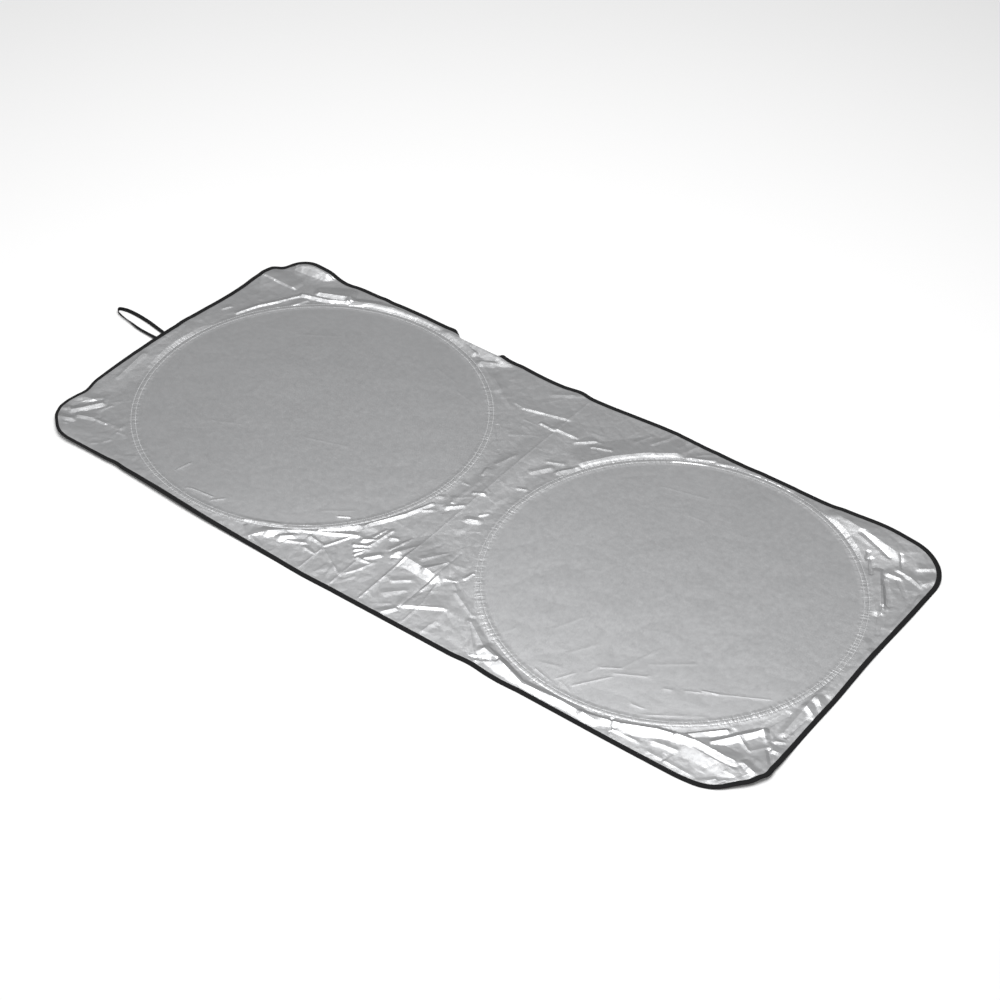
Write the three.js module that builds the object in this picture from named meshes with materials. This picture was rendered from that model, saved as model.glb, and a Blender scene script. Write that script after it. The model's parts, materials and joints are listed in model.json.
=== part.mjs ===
// Pop-up windscreen sunshade: one bound sheet of silver fabric, held open by two spring-steel hoops.
// Units are millimetres. The sheet lies face up, its length along X and its far long edge at +Y.
import * as THREE from "three";

// Driving dimensions: the cut of the sheet
const HOOP_RADIUS = 280; // to the middle of the spring strip
const SIDE_MARGIN = 22; // hoop to each long edge
const LEFT_MARGIN = 40; // hoop to the left short end
const RIGHT_MARGIN = 30; // hoop to the right short end
const WAIST = 110; // between the two hoops
const CORNER_RADIUS = 76;
const LEFT_HOOP_OFFSET = -2; // the hoops are sewn a little off the middle line
const RIGHT_HOOP_OFFSET = 6;

// Driving dimensions: layers and sewn-on parts
const FABRIC = 0.3;
const TAPE = 0.4; // woven tape of the binding and the casings
const CLEARANCE = 0.2; // left between two layers
const BINDING_WIDTH = 6.4;
const BINDING_INSET = 0.5; // the leg ends this far before the sheet's first row inside it
const SEAM_HALF = 3.5; // middle of the hoop to each stitch row
const CASING_ALLOWANCE = 1.5; // casing tape outside each stitch row
const STRIP_WIDTH = 2.5; // spring steel, flat
const STRIP_HEIGHT = 0.5;
const STRIP_END_GAP = 1; // between the strip's two ends, inside the ferrule
const FERRULE_LENGTH = 30;
const FERRULE_WALL = 0.2;
const FERRULE_PLAY = 0.1; // between the sleeve and the strip
const FERRULE_ANGLE = THREE.MathUtils.degToRad(62); // from the waist side of each hoop

// Driving dimensions: the elastic loop at the left end
const STRAP_REACH = 107; // beyond the sheet
const STRAP_WIDTH = 6;
const STRAP_THICKNESS = 1;
const STRAP_TUCK = 9; // sewn length under the binding

// How the sheet lies
const NEAR_BULGE = 5; // how far the near long edge bows out
const NEAR_LEFT_LIFT = 5; // the left hoop's near side stands off the floor
const FOLD_RISE = 7; // loose cloth reaches its full fold height this far outside a seam
const STATION = 30; // spacing of the mesh along the edge
const LOOSE_ROWS = 5; // rows of the mesh between a seam and the edge

const HALF_WIDTH = HOOP_RADIUS + SIDE_MARGIN;
const HOOP_X = WAIST / 2 + HOOP_RADIUS;
const LEFT_END = HOOP_X + HOOP_RADIUS + LEFT_MARGIN; // middle of the sheet to each short end
const RIGHT_END = HOOP_X + HOOP_RADIUS + RIGHT_MARGIN;
const REST = TAPE + CLEARANCE; // underside of the sheet where it lies flat on its tapes
const LEG = BINDING_WIDTH + BINDING_INSET;
const STRIP_BOTTOM = REST + FERRULE_WALL + FERRULE_PLAY;
const STRIP_TOP = STRIP_BOTTOM + STRIP_HEIGHT;
const FERRULE_TOP = STRIP_TOP + FERRULE_PLAY + FERRULE_WALL;
const FERRULE_HALF_WIDTH = STRIP_WIDTH / 2 + FERRULE_PLAY + FERRULE_WALL;
const HOOPS = [
  { side: -1, name: "left", x: -HOOP_X, y: LEFT_HOOP_OFFSET },
  { side: 1, name: "right", x: HOOP_X, y: RIGHT_HOOP_OFFSET },
];

const clamp = (v) => Math.min(1, Math.max(0, v));
const smooth = (v) => clamp(v) ** 2 * (3 - 2 * clamp(v));
const mix = (a, b, t) => a.map((v, i) => v + (b[i] - v) * t);

// Places on the sheet, measured from a corner, from the middle of a long edge, or from a hoop
const endOf = (side) => (side < 0 ? LEFT_END : RIGHT_END);
const corner = (sx, sy, dx, dy) => [sx * (endOf(sx) - dx), sy * (HALF_WIDTH - dy)];
const waist = (x, sy, dy) => [x, sy * (HALF_WIDTH - dy)];
function rim(hoop, degrees, out) {
  const a = THREE.MathUtils.degToRad(degrees);
  const r = HOOP_RADIUS + out;
  return [hoop.x + r * Math.cos(a), hoop.y + r * Math.sin(a)];
}

// Folds: crest lines with a steep side on the right of the way they run, and a gentle one on the left
const [LEFT, RIGHT] = HOOPS;
const fold = (from, to, height, steep, gentle) => ({ from, to, height, steep, gentle });
function foldRound(hoop, start, end, out, height, steep, gentle) {
  const steps = Math.max(2, Math.round(Math.abs(end - start) / 9));
  const at = (i) => rim(hoop, start + ((end - start) * i) / steps, out);
  return Array.from({ length: steps }, (_, i) => fold(at(i), at(i + 1), height, steep, gentle));
}
const FOLDS = [
  // far left corner
  fold(corner(-1, 1, 7, 70), corner(-1, 1, 95, 68), 3.5, 7, 34),
  fold(corner(-1, 1, 103, 70), corner(-1, 1, 158, 42), 3.5, 13, 34),
  fold(corner(-1, 1, 158, 42), corner(-1, 1, 173, 24), 3.5, 13, 22),
  // round the left hoop: far side, outer side and the near side of the waist
  ...foldRound(LEFT, 118, 66, 12, 2.8, 11, 14),
  ...foldRound(LEFT, 158, 134, 17, 1.6, 7, 20),
  ...foldRound(LEFT, -66, -32, 14, 2.2, 12, 12),
  // the ridge that hides the far binding
  fold(waist(-272, 1, 15), waist(-190, 1, 17), 12, 7, 30),
  // far side of the waist
  fold(waist(-100, 1, 91), waist(-5, 1, 73), 1.6, 7, 30),
  fold(waist(-36, 1, 104), waist(36, 1, 103), 1.5, 7, 26),
  fold(waist(38, 1, 112), waist(60, 1, 90), 1.6, 9, 18),
  // middle of the waist
  fold([-27, -60], [-20, 95], 1.2, 8, 16),
  fold([22, -90], [28, 5], 1.2, 8, 16),
  // near side of the waist
  fold(waist(-150, -1, 74), waist(-92, -1, 112), 3, 12, 16),
  fold(waist(-24, -1, 118), waist(52, -1, 114), 3.2, 17, 50),
  fold(waist(52, -1, 38), waist(110, -1, 68), 1.7, 9, 34),
  // round the right hoop: far side of the waist and near side
  ...foldRound(RIGHT, 154, 116, 16, 3.6, 15, 28),
  ...foldRound(RIGHT, -122, -84, 8, 3, 14, 5),
  // near right corner
  fold(corner(1, -1, 295, 16), corner(1, -1, 250, 22), 2.2, 12, 5),
  fold(corner(1, -1, 250, 22), corner(1, -1, 190, 40), 3, 18, 5),
  fold(corner(1, -1, 190, 40), corner(1, -1, 115, 69), 3, 15, 8),
  fold(corner(1, -1, 115, 69), corner(1, -1, 13, 64), 2.8, 13, 26),
  fold(corner(1, -1, 95, 89), corner(1, -1, 53, 142), 2.2, 11, 9),
  // right end and far right corner
  fold([RIGHT_END - 27, -150], [RIGHT_END - 31, 70], 2.4, 20, 9),
  fold(corner(1, 1, 41, 162), corner(1, 1, 83, 90), 2.2, 7, 26),
  // near left corner
  fold(corner(-1, -1, 7, 106), corner(-1, -1, 55, 112), 2.6, 12, 18),
  fold(corner(-1, -1, 25, 66), corner(-1, -1, 52, 110), 2.4, 10, 14),
  fold(corner(-1, -1, 43, 62), corner(-1, -1, 115, 80), 2, 9, 18),
];

// Swells: soft rises of the cloth and its bound edge
const swell = (at, reachX, reachY, height) => ({ at, reachX, reachY, height });
const SWELLS = [
  swell(corner(-1, 1, 83, 2), 84, 50, 10),
  swell(corner(-1, 1, 19, 60), 60, 60, 3),
  swell(corner(-1, 1, 5, 330), 60, 200, 4),
  swell(corner(-1, 1, 245, 6), 120, 40, 1.5),
  swell(corner(1, 1, 120, 2), 120, 100, 7),
  swell(corner(1, -1, 5, 60), 70, 100, 5),
  swell(corner(-1, -1, 35, 20), 90, 60, 3),
  swell([0, 60], 40, 200, 2),
];

// Pulls: stretches of the bound edge that are drawn in by the cloth behind them
const pull = (at, reach, depth) => ({ at, reach, depth });
const PULLS = [
  pull(waist(-85, 1, 0), 150, 10),
  pull(waist(-230, 1, 0), 56, 5),
  pull(corner(-1, 1, 28, 26), 52, 8),
  pull(corner(-1, 1, 0, 400), 240, -4),
  pull(corner(-1, -1, 130, 0), 250, 9),
  pull(corner(-1, 1, 0, 120), 130, 6),
  pull(corner(1, -1, 20, 20), 90, 8),
  pull(waist(-20, -1, 0), 420, -NEAR_BULGE),
  pull(waist(420, -1, 0), 420, -NEAR_BULGE),
];

function lift(x, y) {
  const across = clamp(-y / HALF_WIDTH);
  return NEAR_LEFT_LIFT * across ** 2 * smooth((-x - WAIST) / HOOP_RADIUS);
}

function foldHeight(f, x, y) {
  const [dx, dy] = [f.to[0] - f.from[0], f.to[1] - f.from[1]];
  const length = Math.hypot(dx, dy);
  const along = ((x - f.from[0]) * dx + (y - f.from[1]) * dy) / length;
  const left = ((y - f.from[1]) * dx - (x - f.from[0]) * dy) / length;
  const side = left > 0 ? f.gentle : f.steep;
  const beyond = Math.max(0, -along, along - length);
  return f.height * Math.max(0, 1 - Math.hypot(left, beyond) / side);
}

function swellHeight(s, x, y) {
  const r = Math.hypot((x - s.at[0]) / s.reachX, (y - s.at[1]) / s.reachY);
  return s.height * smooth(1 - r);
}

// Underside of the sheet outside the hoops
function looseCloth(x, y) {
  const outside = Math.min(...HOOPS.map((h) => Math.hypot(x - h.x, y - h.y))) - HOOP_RADIUS - SEAM_HALF;
  const folds = Math.max(...FOLDS.map((f) => foldHeight(f, x, y)));
  const swells = SWELLS.reduce((sum, s) => sum + swellHeight(s, x, y), 0);
  return REST + lift(x, y) + clamp(outside / FOLD_RISE) * (folds + swells);
}

// Underside of the sheet over the middle of a hoop: high enough for the strip, and higher over the ferrule
function crestHeight(hoop, angle) {
  const over = (top, halfWidth) => (top + CLEARANCE - (REST * halfWidth) / SEAM_HALF) / (1 - halfWidth / SEAM_HALF);
  const facetSag = STATION ** 2 / (8 * HOOP_RADIUS); // the cloth spans its stations in straight lines
  const plain = over(STRIP_TOP, STRIP_WIDTH / 2);
  const raised = over(FERRULE_TOP, FERRULE_HALF_WIDTH + facetSag);
  const away = Math.abs(Math.atan2(Math.sin(angle - ferruleAngle(hoop)), Math.cos(angle - ferruleAngle(hoop))));
  const level = FERRULE_LENGTH / 2 + STATION;
  return plain + (raised - plain) * smooth(1 - (away * HOOP_RADIUS - level) / (2 * STATION));
}

function ferruleAngle(hoop) {
  return hoop.side < 0 ? FERRULE_ANGLE : Math.PI - FERRULE_ANGLE;
}

// The cut edge of one half of the sheet, from the middle of the near edge, round the end, to the far edge.
// Each station has a point on the edge and one inside it, where the binding's leg ends.
function edgeStations(side) {
  const endX = endOf(side);
  const flatX = endX - CORNER_RADIUS;
  const flatY = HALF_WIDTH - CORNER_RADIUS;
  const stations = [];
  const add = (x, y, nx, ny) => {
    let depth = TAPE + CLEARANCE;
    for (const p of PULLS) {
      depth += p.depth * smooth(1 - Math.hypot(side * x - p.at[0], y - p.at[1]) / p.reach);
    }
    const at = (inward) => [side * (x - nx * inward), y - ny * inward];
    stations.push({ edge: at(depth), inside: at(depth + LEG) });
  };
  const run = (length, place) => {
    const steps = Math.max(3, Math.round(length / STATION));
    for (let i = 0; i < steps; i++) {
      place(i / steps);
    }
  };
  const turn = (x, y, start) => (t) => {
    const a = start + (t * Math.PI) / 2;
    add(x + CORNER_RADIUS * Math.cos(a), y + CORNER_RADIUS * Math.sin(a), Math.cos(a), Math.sin(a));
  };
  const quarter = (Math.PI / 2) * CORNER_RADIUS;
  run(flatX, (t) => add(flatX * t, -HALF_WIDTH, 0, -1));
  run(quarter, turn(flatX, -flatY, -Math.PI / 2));
  run(2 * flatY, (t) => add(endX, flatY * (2 * t - 1), 1, 0));
  run(quarter, turn(flatX, flatY, 0));
  run(flatX, (t) => add(flatX * (1 - t), HALF_WIDTH, 0, 1));
  add(0, HALF_WIDTH, 0, 1);
  return stations;
}

// The loop of points round one hoop where its half of the sheet ends: inside the binding, then down the waist
function halfBoundary(stations) {
  const inside = stations.map((s) => s.inside);
  const [first, last] = [inside[0], inside.at(-1)];
  const steps = Math.round((last[1] - first[1]) / STATION);
  for (let i = 1; i < steps; i++) {
    inside.push(mix(last, first, i / steps));
  }
  return inside;
}

const HALVES = HOOPS.map((hoop) => {
  const stations = edgeStations(hoop.side);
  const boundary = halfBoundary(stations);
  const angles = boundary.map(([x, y]) => Math.atan2(y - hoop.y, x - hoop.x));
  return { hoop, stations, boundary, angles };
});

// Meshes are gathered as loose triangles and closed by their shared corners
function geometryOf(triangles) {
  const geometry = new THREE.BufferGeometry();
  geometry.setAttribute("position", new THREE.Float32BufferAttribute(triangles.flat(2), 3));
  geometry.computeVertexNormals();
  return geometry;
}

function quad(triangles, a, b, c, d, flip = false) {
  if (flip) {
    triangles.push([a, c, b], [a, d, c]);
  } else {
    triangles.push([a, b, c], [a, c, d]);
  }
}

// A solid swept through closed sections; a ring when closed, otherwise capped by its fan of ends
function sweep(sections, closed) {
  const triangles = [];
  const count = closed ? sections.length : sections.length - 1;
  for (let i = 0; i < count; i++) {
    const [a, b] = [sections[i], sections[(i + 1) % sections.length]];
    a.forEach((p, k) => {
      const next = (k + 1) % a.length;
      quad(triangles, p, a[next], b[next], b[k]);
    });
  }
  if (!closed) {
    const [start, end] = [sections[0], sections.at(-1)];
    for (let k = 1; k < start.length - 1; k++) {
      triangles.push([start[0], start[k + 1], start[k]], [end[0], end[k], end[k + 1]]);
    }
  }
  return triangles;
}

function outwards(triangles) {
  const volume = triangles.reduce((sum, [a, b, c]) => {
    const cross = [b[1] * c[2] - b[2] * c[1], b[2] * c[0] - b[0] * c[2], b[0] * c[1] - b[1] * c[0]];
    return sum + a[0] * cross[0] + a[1] * cross[1] + a[2] * cross[2];
  }, 0);
  return volume > 0 ? triangles : triangles.map(([a, b, c]) => [a, c, b]);
}

function panelGeometry() {
  const triangles = [];
  const top = ([x, y, z]) => [x, y, z + FABRIC];
  const both = (a, b, c, d, flip) => {
    quad(triangles, top(a), top(b), top(c), top(d), flip);
    quad(triangles, a, b, c, d, !flip);
  };
  for (const { hoop, stations, boundary, angles } of HALVES) {
    const flip = hoop.side < 0;
    const onHoop = (angle, radius, z) => {
      const x = hoop.x + radius * Math.cos(angle);
      const y = hoop.y + radius * Math.sin(angle);
      return [x, y, z + lift(x, y)];
    };
    const centre = [hoop.x, hoop.y, REST + lift(hoop.x, hoop.y)];
    const rows = boundary.map((end, i) => {
      const a = angles[i];
      const seam = onHoop(a, HOOP_RADIUS + SEAM_HALF, REST);
      const row = [
        onHoop(a, HOOP_RADIUS / 2, REST),
        onHoop(a, HOOP_RADIUS - SEAM_HALF, REST),
        onHoop(a, HOOP_RADIUS, crestHeight(hoop, a)),
        seam,
      ];
      for (let k = 1; k <= LOOSE_ROWS; k++) {
        const [x, y] = mix(seam.slice(0, 2), end, k / LOOSE_ROWS);
        row.push([x, y, looseCloth(x, y)]);
      }
      return row;
    });
    rows.forEach((row, i) => {
      const next = rows[(i + 1) % rows.length];
      const ends = flip ? [next[0], row[0]] : [row[0], next[0]];
      triangles.push([top(centre), ...ends.map(top)], [centre, ends[1], ends[0]]);
      for (let k = 0; k < row.length - 1; k++) {
        both(row[k], row[k + 1], next[k + 1], next[k], flip);
      }
    });
    // the strip under the binding, and the cut edge
    for (let i = 0; i < stations.length - 1; i++) {
      const [a, b] = [i, i + 1].map((j) => bindingLine(stations[j]));
      both(a.inside, a.edge, b.edge, b.inside, flip);
      quad(triangles, a.edge, b.edge, top(b.edge), top(a.edge), flip);
    }
  }
  return geometryOf(outwards(triangles));
}

// A station's two points in space: the cloth lies level across the binding
function bindingLine({ edge, inside }) {
  const z = looseCloth(...inside);
  return { edge: [...edge, z], inside: [...inside, z] };
}

function bindingGeometry() {
  const [left, right] = HALVES.map((h) => h.stations);
  const around = [...right, ...left.slice(1, -1).reverse()];
  const sections = around.map((station) => {
    const { edge, inside } = bindingLine(station);
    const at = (inward, z) => [...mix(edge.slice(0, 2), inside.slice(0, 2), inward / LEG), z];
    const outer = -CLEARANCE - TAPE;
    const [under, over] = [edge[2] - CLEARANCE, edge[2] + FABRIC + CLEARANCE];
    return [
      at(outer, under - TAPE),
      at(outer, over + TAPE),
      at(BINDING_WIDTH, over + TAPE),
      at(BINDING_WIDTH, over),
      at(-CLEARANCE, over),
      at(-CLEARANCE, under),
      at(BINDING_WIDTH, under),
      at(BINDING_WIDTH, under - TAPE),
    ];
  });
  return geometryOf(outwards(sweep(sections, true)));
}

// A rectangular section standing on the hoop's circle at one angle
function ringSection(hoop, angle, halfWidth, bottom, topZ) {
  const at = (out, z) => {
    const x = hoop.x + (HOOP_RADIUS + out) * Math.cos(angle);
    const y = hoop.y + (HOOP_RADIUS + out) * Math.sin(angle);
    return [x, y, z + lift(x, y)];
  };
  return [at(-halfWidth, bottom), at(halfWidth, bottom), at(halfWidth, topZ), at(-halfWidth, topZ)];
}

function casingGeometry({ hoop, angles }) {
  const halfWidth = SEAM_HALF + CASING_ALLOWANCE;
  const sections = angles.map((a) => ringSection(hoop, a, halfWidth, 0, TAPE));
  return geometryOf(outwards(sweep(sections, true)));
}

// Angles along the ferrule, from its middle
const FERRULE_STOPS = [-1, -0.5, 0, 0.5, 1].map((t) => (t * FERRULE_LENGTH) / 2 / HOOP_RADIUS);

// The strip is an open ring: its two ends meet inside the ferrule, where it follows the ferrule's own facets
function hoopGeometry({ hoop, angles }) {
  const joint = ferruleAngle(hoop);
  const halfGap = STRIP_END_GAP / 2 / HOOP_RADIUS;
  const inFerrule = [halfGap, ...FERRULE_STOPS.filter((t) => t > 0)];
  const sleeve = inFerrule.at(-1);
  const turns = angles.map((a) => (a - joint + 4 * Math.PI) % (2 * Math.PI));
  const between = turns.filter((t) => t > 1.1 * sleeve && t < 2 * Math.PI - 1.1 * sleeve);
  const leaving = inFerrule.map((t) => 2 * Math.PI - t);
  const stops = [...inFerrule, ...between, ...leaving].sort((a, b) => a - b);
  const sections = stops.map((t) => ringSection(hoop, joint + t, STRIP_WIDTH / 2, STRIP_BOTTOM, STRIP_TOP));
  return geometryOf(outwards(sweep(sections, false)));
}

// The ferrule is a flat sleeve, open at both ends
function ferruleGeometry({ hoop }) {
  const shell = (inset) =>
    FERRULE_STOPS.map((t) =>
      ringSection(hoop, ferruleAngle(hoop) + t, FERRULE_HALF_WIDTH - inset, REST + inset, FERRULE_TOP - inset),
    );
  const [outer, inner] = [shell(0), shell(FERRULE_WALL)];
  const triangles = [];
  for (let i = 0; i < FERRULE_STOPS.length - 1; i++) {
    for (let k = 0; k < 4; k++) {
      const n = (k + 1) % 4;
      quad(triangles, outer[i][k], outer[i][n], outer[i + 1][n], outer[i + 1][k]);
      quad(triangles, inner[i][n], inner[i][k], inner[i + 1][k], inner[i + 1][n]);
    }
  }
  for (const [end, flip] of [[0, true], [FERRULE_STOPS.length - 1, false]]) {
    for (let k = 0; k < 4; k++) {
      const n = (k + 1) % 4;
      quad(triangles, outer[end][k], outer[end][n], inner[end][n], inner[end][k], flip);
    }
  }
  return geometryOf(outwards(triangles));
}

// The strap's route: share of its reach, place across the sheet's end, height of its middle above the floor
// and roll in degrees, from flat (0) to on edge (90). It banks up to turn round at its tip.
const STRAP_ROUTE = [
  [-STRAP_TUCK / STRAP_REACH, 2, 0, 0],
  [0, 2, 0, 0],
  [0.14, 5, -0.6, 6],
  [0.43, 10.2, 2.9, 20],
  [0.74, 12.4, 2.9, 45],
  [0.9, 10.6, 3.2, 66],
  [0.993, 6, 3.3, 88],
  [0.95, -1, 3.3, 86],
  [0.83, -5, 3.2, 70],
  [0.62, -8.6, 2.9, 43],
  [0.43, -12.8, 2.7, 20],
  [0.14, -15.2, -0.6, 6],
  [0, -15.7, 0, 0],
  [-STRAP_TUCK / STRAP_REACH, -15.7, 0, 0],
];
const STRAP_STEPS = 52;

function strapGeometry() {
  const edgeX = -LEFT_END;
  const sewnHeight = (y) => looseCloth(edgeX + LEG, y) - 2 * CLEARANCE - TAPE - STRAP_THICKNESS / 2;
  const points = STRAP_ROUTE.map(([share, y, z]) => {
    const sewn = share < 0.2;
    return new THREE.Vector3(edgeX - share * STRAP_REACH, y, sewn ? sewnHeight(y) + z : z);
  });
  const route = new THREE.CatmullRomCurve3(points, false, "centripetal");
  const sections = [];
  for (let i = 0; i <= STRAP_STEPS; i++) {
    const t = i / STRAP_STEPS;
    const spot = t * (STRAP_ROUTE.length - 1);
    const low = Math.min(STRAP_ROUTE.length - 2, Math.floor(spot));
    const turned = STRAP_ROUTE[low][3] + (STRAP_ROUTE[low + 1][3] - STRAP_ROUTE[low][3]) * (spot - low);
    const roll = THREE.MathUtils.degToRad(turned);
    const tangent = route.getTangent(t);
    const level = new THREE.Vector3(tangent.y, -tangent.x, 0).normalize();
    const across = level.clone().multiplyScalar(Math.cos(roll)).add(new THREE.Vector3(0, 0, Math.sin(roll)));
    const face = new THREE.Vector3().crossVectors(across, tangent).normalize();
    const place = (u, v) =>
      route.getPoint(t).addScaledVector(across, (u * STRAP_WIDTH) / 2).addScaledVector(face, (v * STRAP_THICKNESS) / 2);
    sections.push([place(-1, -1), place(1, -1), place(1, 1), place(-1, 1)].map((p) => p.toArray()));
  }
  return geometryOf(outwards(sweep(sections, false)));
}

const silverCloth = { color: 0xb9bbbd, roughness: 0.38, metalness: 0.85 };
const blackTape = { color: 0x1a1a1b, roughness: 0.85, metalness: 0 };
const springSteel = { color: 0x5d6064, roughness: 0.35, metalness: 1 };
const brightSteel = { color: 0xa9acb0, roughness: 0.3, metalness: 1 };
const greyTape = { color: 0x8b8d90, roughness: 0.8, metalness: 0 };

const sunshade = new THREE.Group();
// the origin is on the floor, midway between the strap's tip and the right end, and between the long edges
sunshade.position.set((LEFT_END + STRAP_REACH - RIGHT_END) / 2, NEAR_BULGE / 2, 0);

function add(name, geometry, finish) {
  const mesh = new THREE.Mesh(geometry, new THREE.MeshStandardMaterial(finish));
  mesh.name = name;
  sunshade.add(mesh);
}

add("shade_panel", panelGeometry(), silverCloth);
add("edge_binding", bindingGeometry(), blackTape);
for (const half of HALVES) {
  add("casing_" + half.hoop.name, casingGeometry(half), greyTape);
  add("hoop_" + half.hoop.name, hoopGeometry(half), springSteel);
  add("ferrule_" + half.hoop.name, ferruleGeometry(half), brightSteel);
}
add("strap_loop", strapGeometry(), blackTape);

export default sunshade;
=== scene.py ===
import json
import math
from collections import namedtuple

import bmesh
import bpy
import numpy as np
from bpy.props import FloatProperty, FloatVectorProperty, IntProperty, PointerProperty
from bpy.types import Operator, Panel, PropertyGroup
from mathutils import Matrix, Vector
from mathutils.geometry import delaunay_2d_cdt

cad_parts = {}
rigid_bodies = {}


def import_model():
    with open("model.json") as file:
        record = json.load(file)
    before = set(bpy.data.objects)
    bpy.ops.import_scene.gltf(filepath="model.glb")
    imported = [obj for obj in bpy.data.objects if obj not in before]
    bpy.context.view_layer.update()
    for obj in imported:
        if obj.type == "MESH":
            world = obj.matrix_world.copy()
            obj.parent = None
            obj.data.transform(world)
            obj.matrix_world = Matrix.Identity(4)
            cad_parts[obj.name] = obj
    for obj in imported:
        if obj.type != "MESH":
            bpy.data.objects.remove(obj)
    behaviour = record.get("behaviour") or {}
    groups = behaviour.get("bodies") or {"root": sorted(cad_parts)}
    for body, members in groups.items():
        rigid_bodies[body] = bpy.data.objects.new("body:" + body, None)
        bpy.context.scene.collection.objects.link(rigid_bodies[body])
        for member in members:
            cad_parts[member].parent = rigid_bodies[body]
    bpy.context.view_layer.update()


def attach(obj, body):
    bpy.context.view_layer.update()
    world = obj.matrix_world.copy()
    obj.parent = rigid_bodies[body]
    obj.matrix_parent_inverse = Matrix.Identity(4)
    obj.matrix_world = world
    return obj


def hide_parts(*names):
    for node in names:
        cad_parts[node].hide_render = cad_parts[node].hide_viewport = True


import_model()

bl_info = {
    "name": "Pop-up Windscreen Sunshade",
    "version": (1, 0, 0),
    "blender": (4, 5, 0),
    "location": "3D View > Sidebar > Sunshade",
    "description": "A creased silver sheet, bound in black, over two sprung hoops",
    "category": "Add Mesh",
}

# Lengths on the sheet are worked out in millimetres, with the sheet's own middle as the origin
MM = 0.001


# Sizes, lay, finishes and stage

def length_of(name, description, default):
    return FloatProperty(name=name, description=description, default=default, unit="LENGTH")


def angle_of(name, description, degrees):
    default = math.radians(degrees)
    return FloatProperty(name=name, description=description, default=default, subtype="ANGLE")


def colour_of(name, description, default):
    return FloatVectorProperty(
        name=name, description=description, default=default, subtype="COLOR", size=3, min=0.0, max=1.0
    )


class SunshadeSizes(PropertyGroup):
    hoop_radius: length_of("Hoop Radius", "Middle of the spring strip", 0.280)
    side_margin: length_of("Side Margin", "From a hoop to each long edge", 0.022)
    left_margin: length_of("Left Margin", "From the left hoop to its short end", 0.040)
    right_margin: length_of("Right Margin", "From the right hoop to its short end", 0.030)
    waist: length_of("Waist", "Loose cloth between the hoops", 0.110)
    near_bulge: length_of("Near Bulge", "How far the near long edge bows out", 0.005)
    corner_radius: length_of("Corner Radius", "Cut of the corners", 0.076)
    seam_half: length_of("Seam Offset", "From the hoop to each stitch row", 0.0035)
    binding_width: length_of("Binding Width", "Width that shows of the edge tape", 0.007)
    tape: length_of("Tape Thickness", "Thickness of the woven tapes", 0.0004)
    fabric: length_of("Fabric Thickness", "Thickness of the coated cloth", 0.0003)
    stitch: length_of("Stitch Pitch", "Distance from stitch to stitch", 0.0034)
    strap_reach: length_of("Strap Reach", "Elastic loop beyond the sheet", 0.107)
    strap_width: length_of("Strap Width", "Width of the flat elastic", 0.006)
    strap_thickness: length_of("Strap Thickness", "Thickness of the flat elastic", 0.001)


class SunshadeLay(PropertyGroup):
    lift: length_of("Near Left Lift", "Height of the left hoop's near side", 0.005)
    fold_rise: length_of("Fold Rise", "Distance from a seam to a fold's full height", 0.007)
    crumple: FloatProperty(
        name="Crumple", description="Strength of the small random creases", default=0.75, min=0.0
    )
    disc_wave: length_of("Disc Wave", "Height of the slow waves in the taut discs", 0.00006)
    gather: length_of("Gather", "Height of the puckers along a seam", 0.00009)
    loose_spacing: length_of("Loose Spacing", "Mesh spacing in the loose cloth", 0.0021)
    disc_spacing: length_of("Disc Spacing", "Mesh spacing in the taut discs", 0.006)
    seed: IntProperty(name="Crumple Seed", description="Layout of the small random creases", default=11)


class SunshadeFinish(PropertyGroup):
    silver: colour_of("Silver", "Metal coat of the cloth", (0.72, 0.725, 0.735))
    backing: colour_of("Backing", "Uncoated side of the cloth", (0.42, 0.43, 0.44))
    binding: colour_of("Binding", "Woven edge tape", (0.016, 0.016, 0.017))
    thread: colour_of("Seam Thread", "Stitching beside the hoops", (0.74, 0.745, 0.75))
    casing: colour_of("Casing Tape", "Tape under the hoops", (0.25, 0.255, 0.26))
    floor: colour_of("Floor", "Pale studio floor", (0.97, 0.97, 0.97))


class SunshadeStage(PropertyGroup):
    azimuth: angle_of("Azimuth", "Camera's turn round the shade", 35.92)
    elevation: angle_of("Elevation", "Camera's height angle", 40.47)
    roll: angle_of("Roll", "Camera's tilt to its side", 1.24)
    distance: length_of("Distance", "Camera to its target", 3.4594)
    target: FloatVectorProperty(
        name="Target", description="Point on the floor in the picture's middle", size=3,
        default=(0.08473, 0.00757, 0.0), subtype="TRANSLATION",
    )
    lens: FloatProperty(
        name="Lens", description="Focal length on a 36 mm sensor", default=82.83, unit="CAMERA"
    )
    overhead: FloatProperty(
        name="Overhead Light", description="Power of the big softbox", default=62.0, unit="POWER"
    )
    surround: FloatProperty(
        name="Surround Light", description="Brightness of the grey surround", default=0.30, min=0.0
    )


# Places on the sheet

BINDING_INSET = 0.5
CLEARANCE = 0.2
LEFT_HOOP_OFFSET = -2
RIGHT_HOOP_OFFSET = 6

# Rise of the cloth over the middle of a hoop, its strip's edge, the stitch row's two sides and the row
# itself, and where it is flat again: taut and a little raised inside the hoop, down on the ground outside
SLEEVE_STEPS = (0, 1.3, 2.4, 3.5, 4.6, 9, 24)
SLEEVE_RISE = {
    "inside": (0.58, 0.58, 0.5, 0.34, 0.42, 0.38, 0.38),
    "outside": (0.58, 0.58, 0.5, 0.34, 0.42, 0.3, 0),
}
FERRULE_RISE = 0.46
FERRULE_HALF_LENGTH = 15
FERRULE_ANGLES = {-1: 62, 1: 118}

# The far edge is rolled under between two places, to a line whose ends slant out to the cut edge
ROLL_ENDS = (-288, -176)
ROLL_EASE = (26, 14)
ROLL_LINE = 286.5
ROLL_DEPTH = 14
ROLL_RADIUS = 1.6

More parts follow.
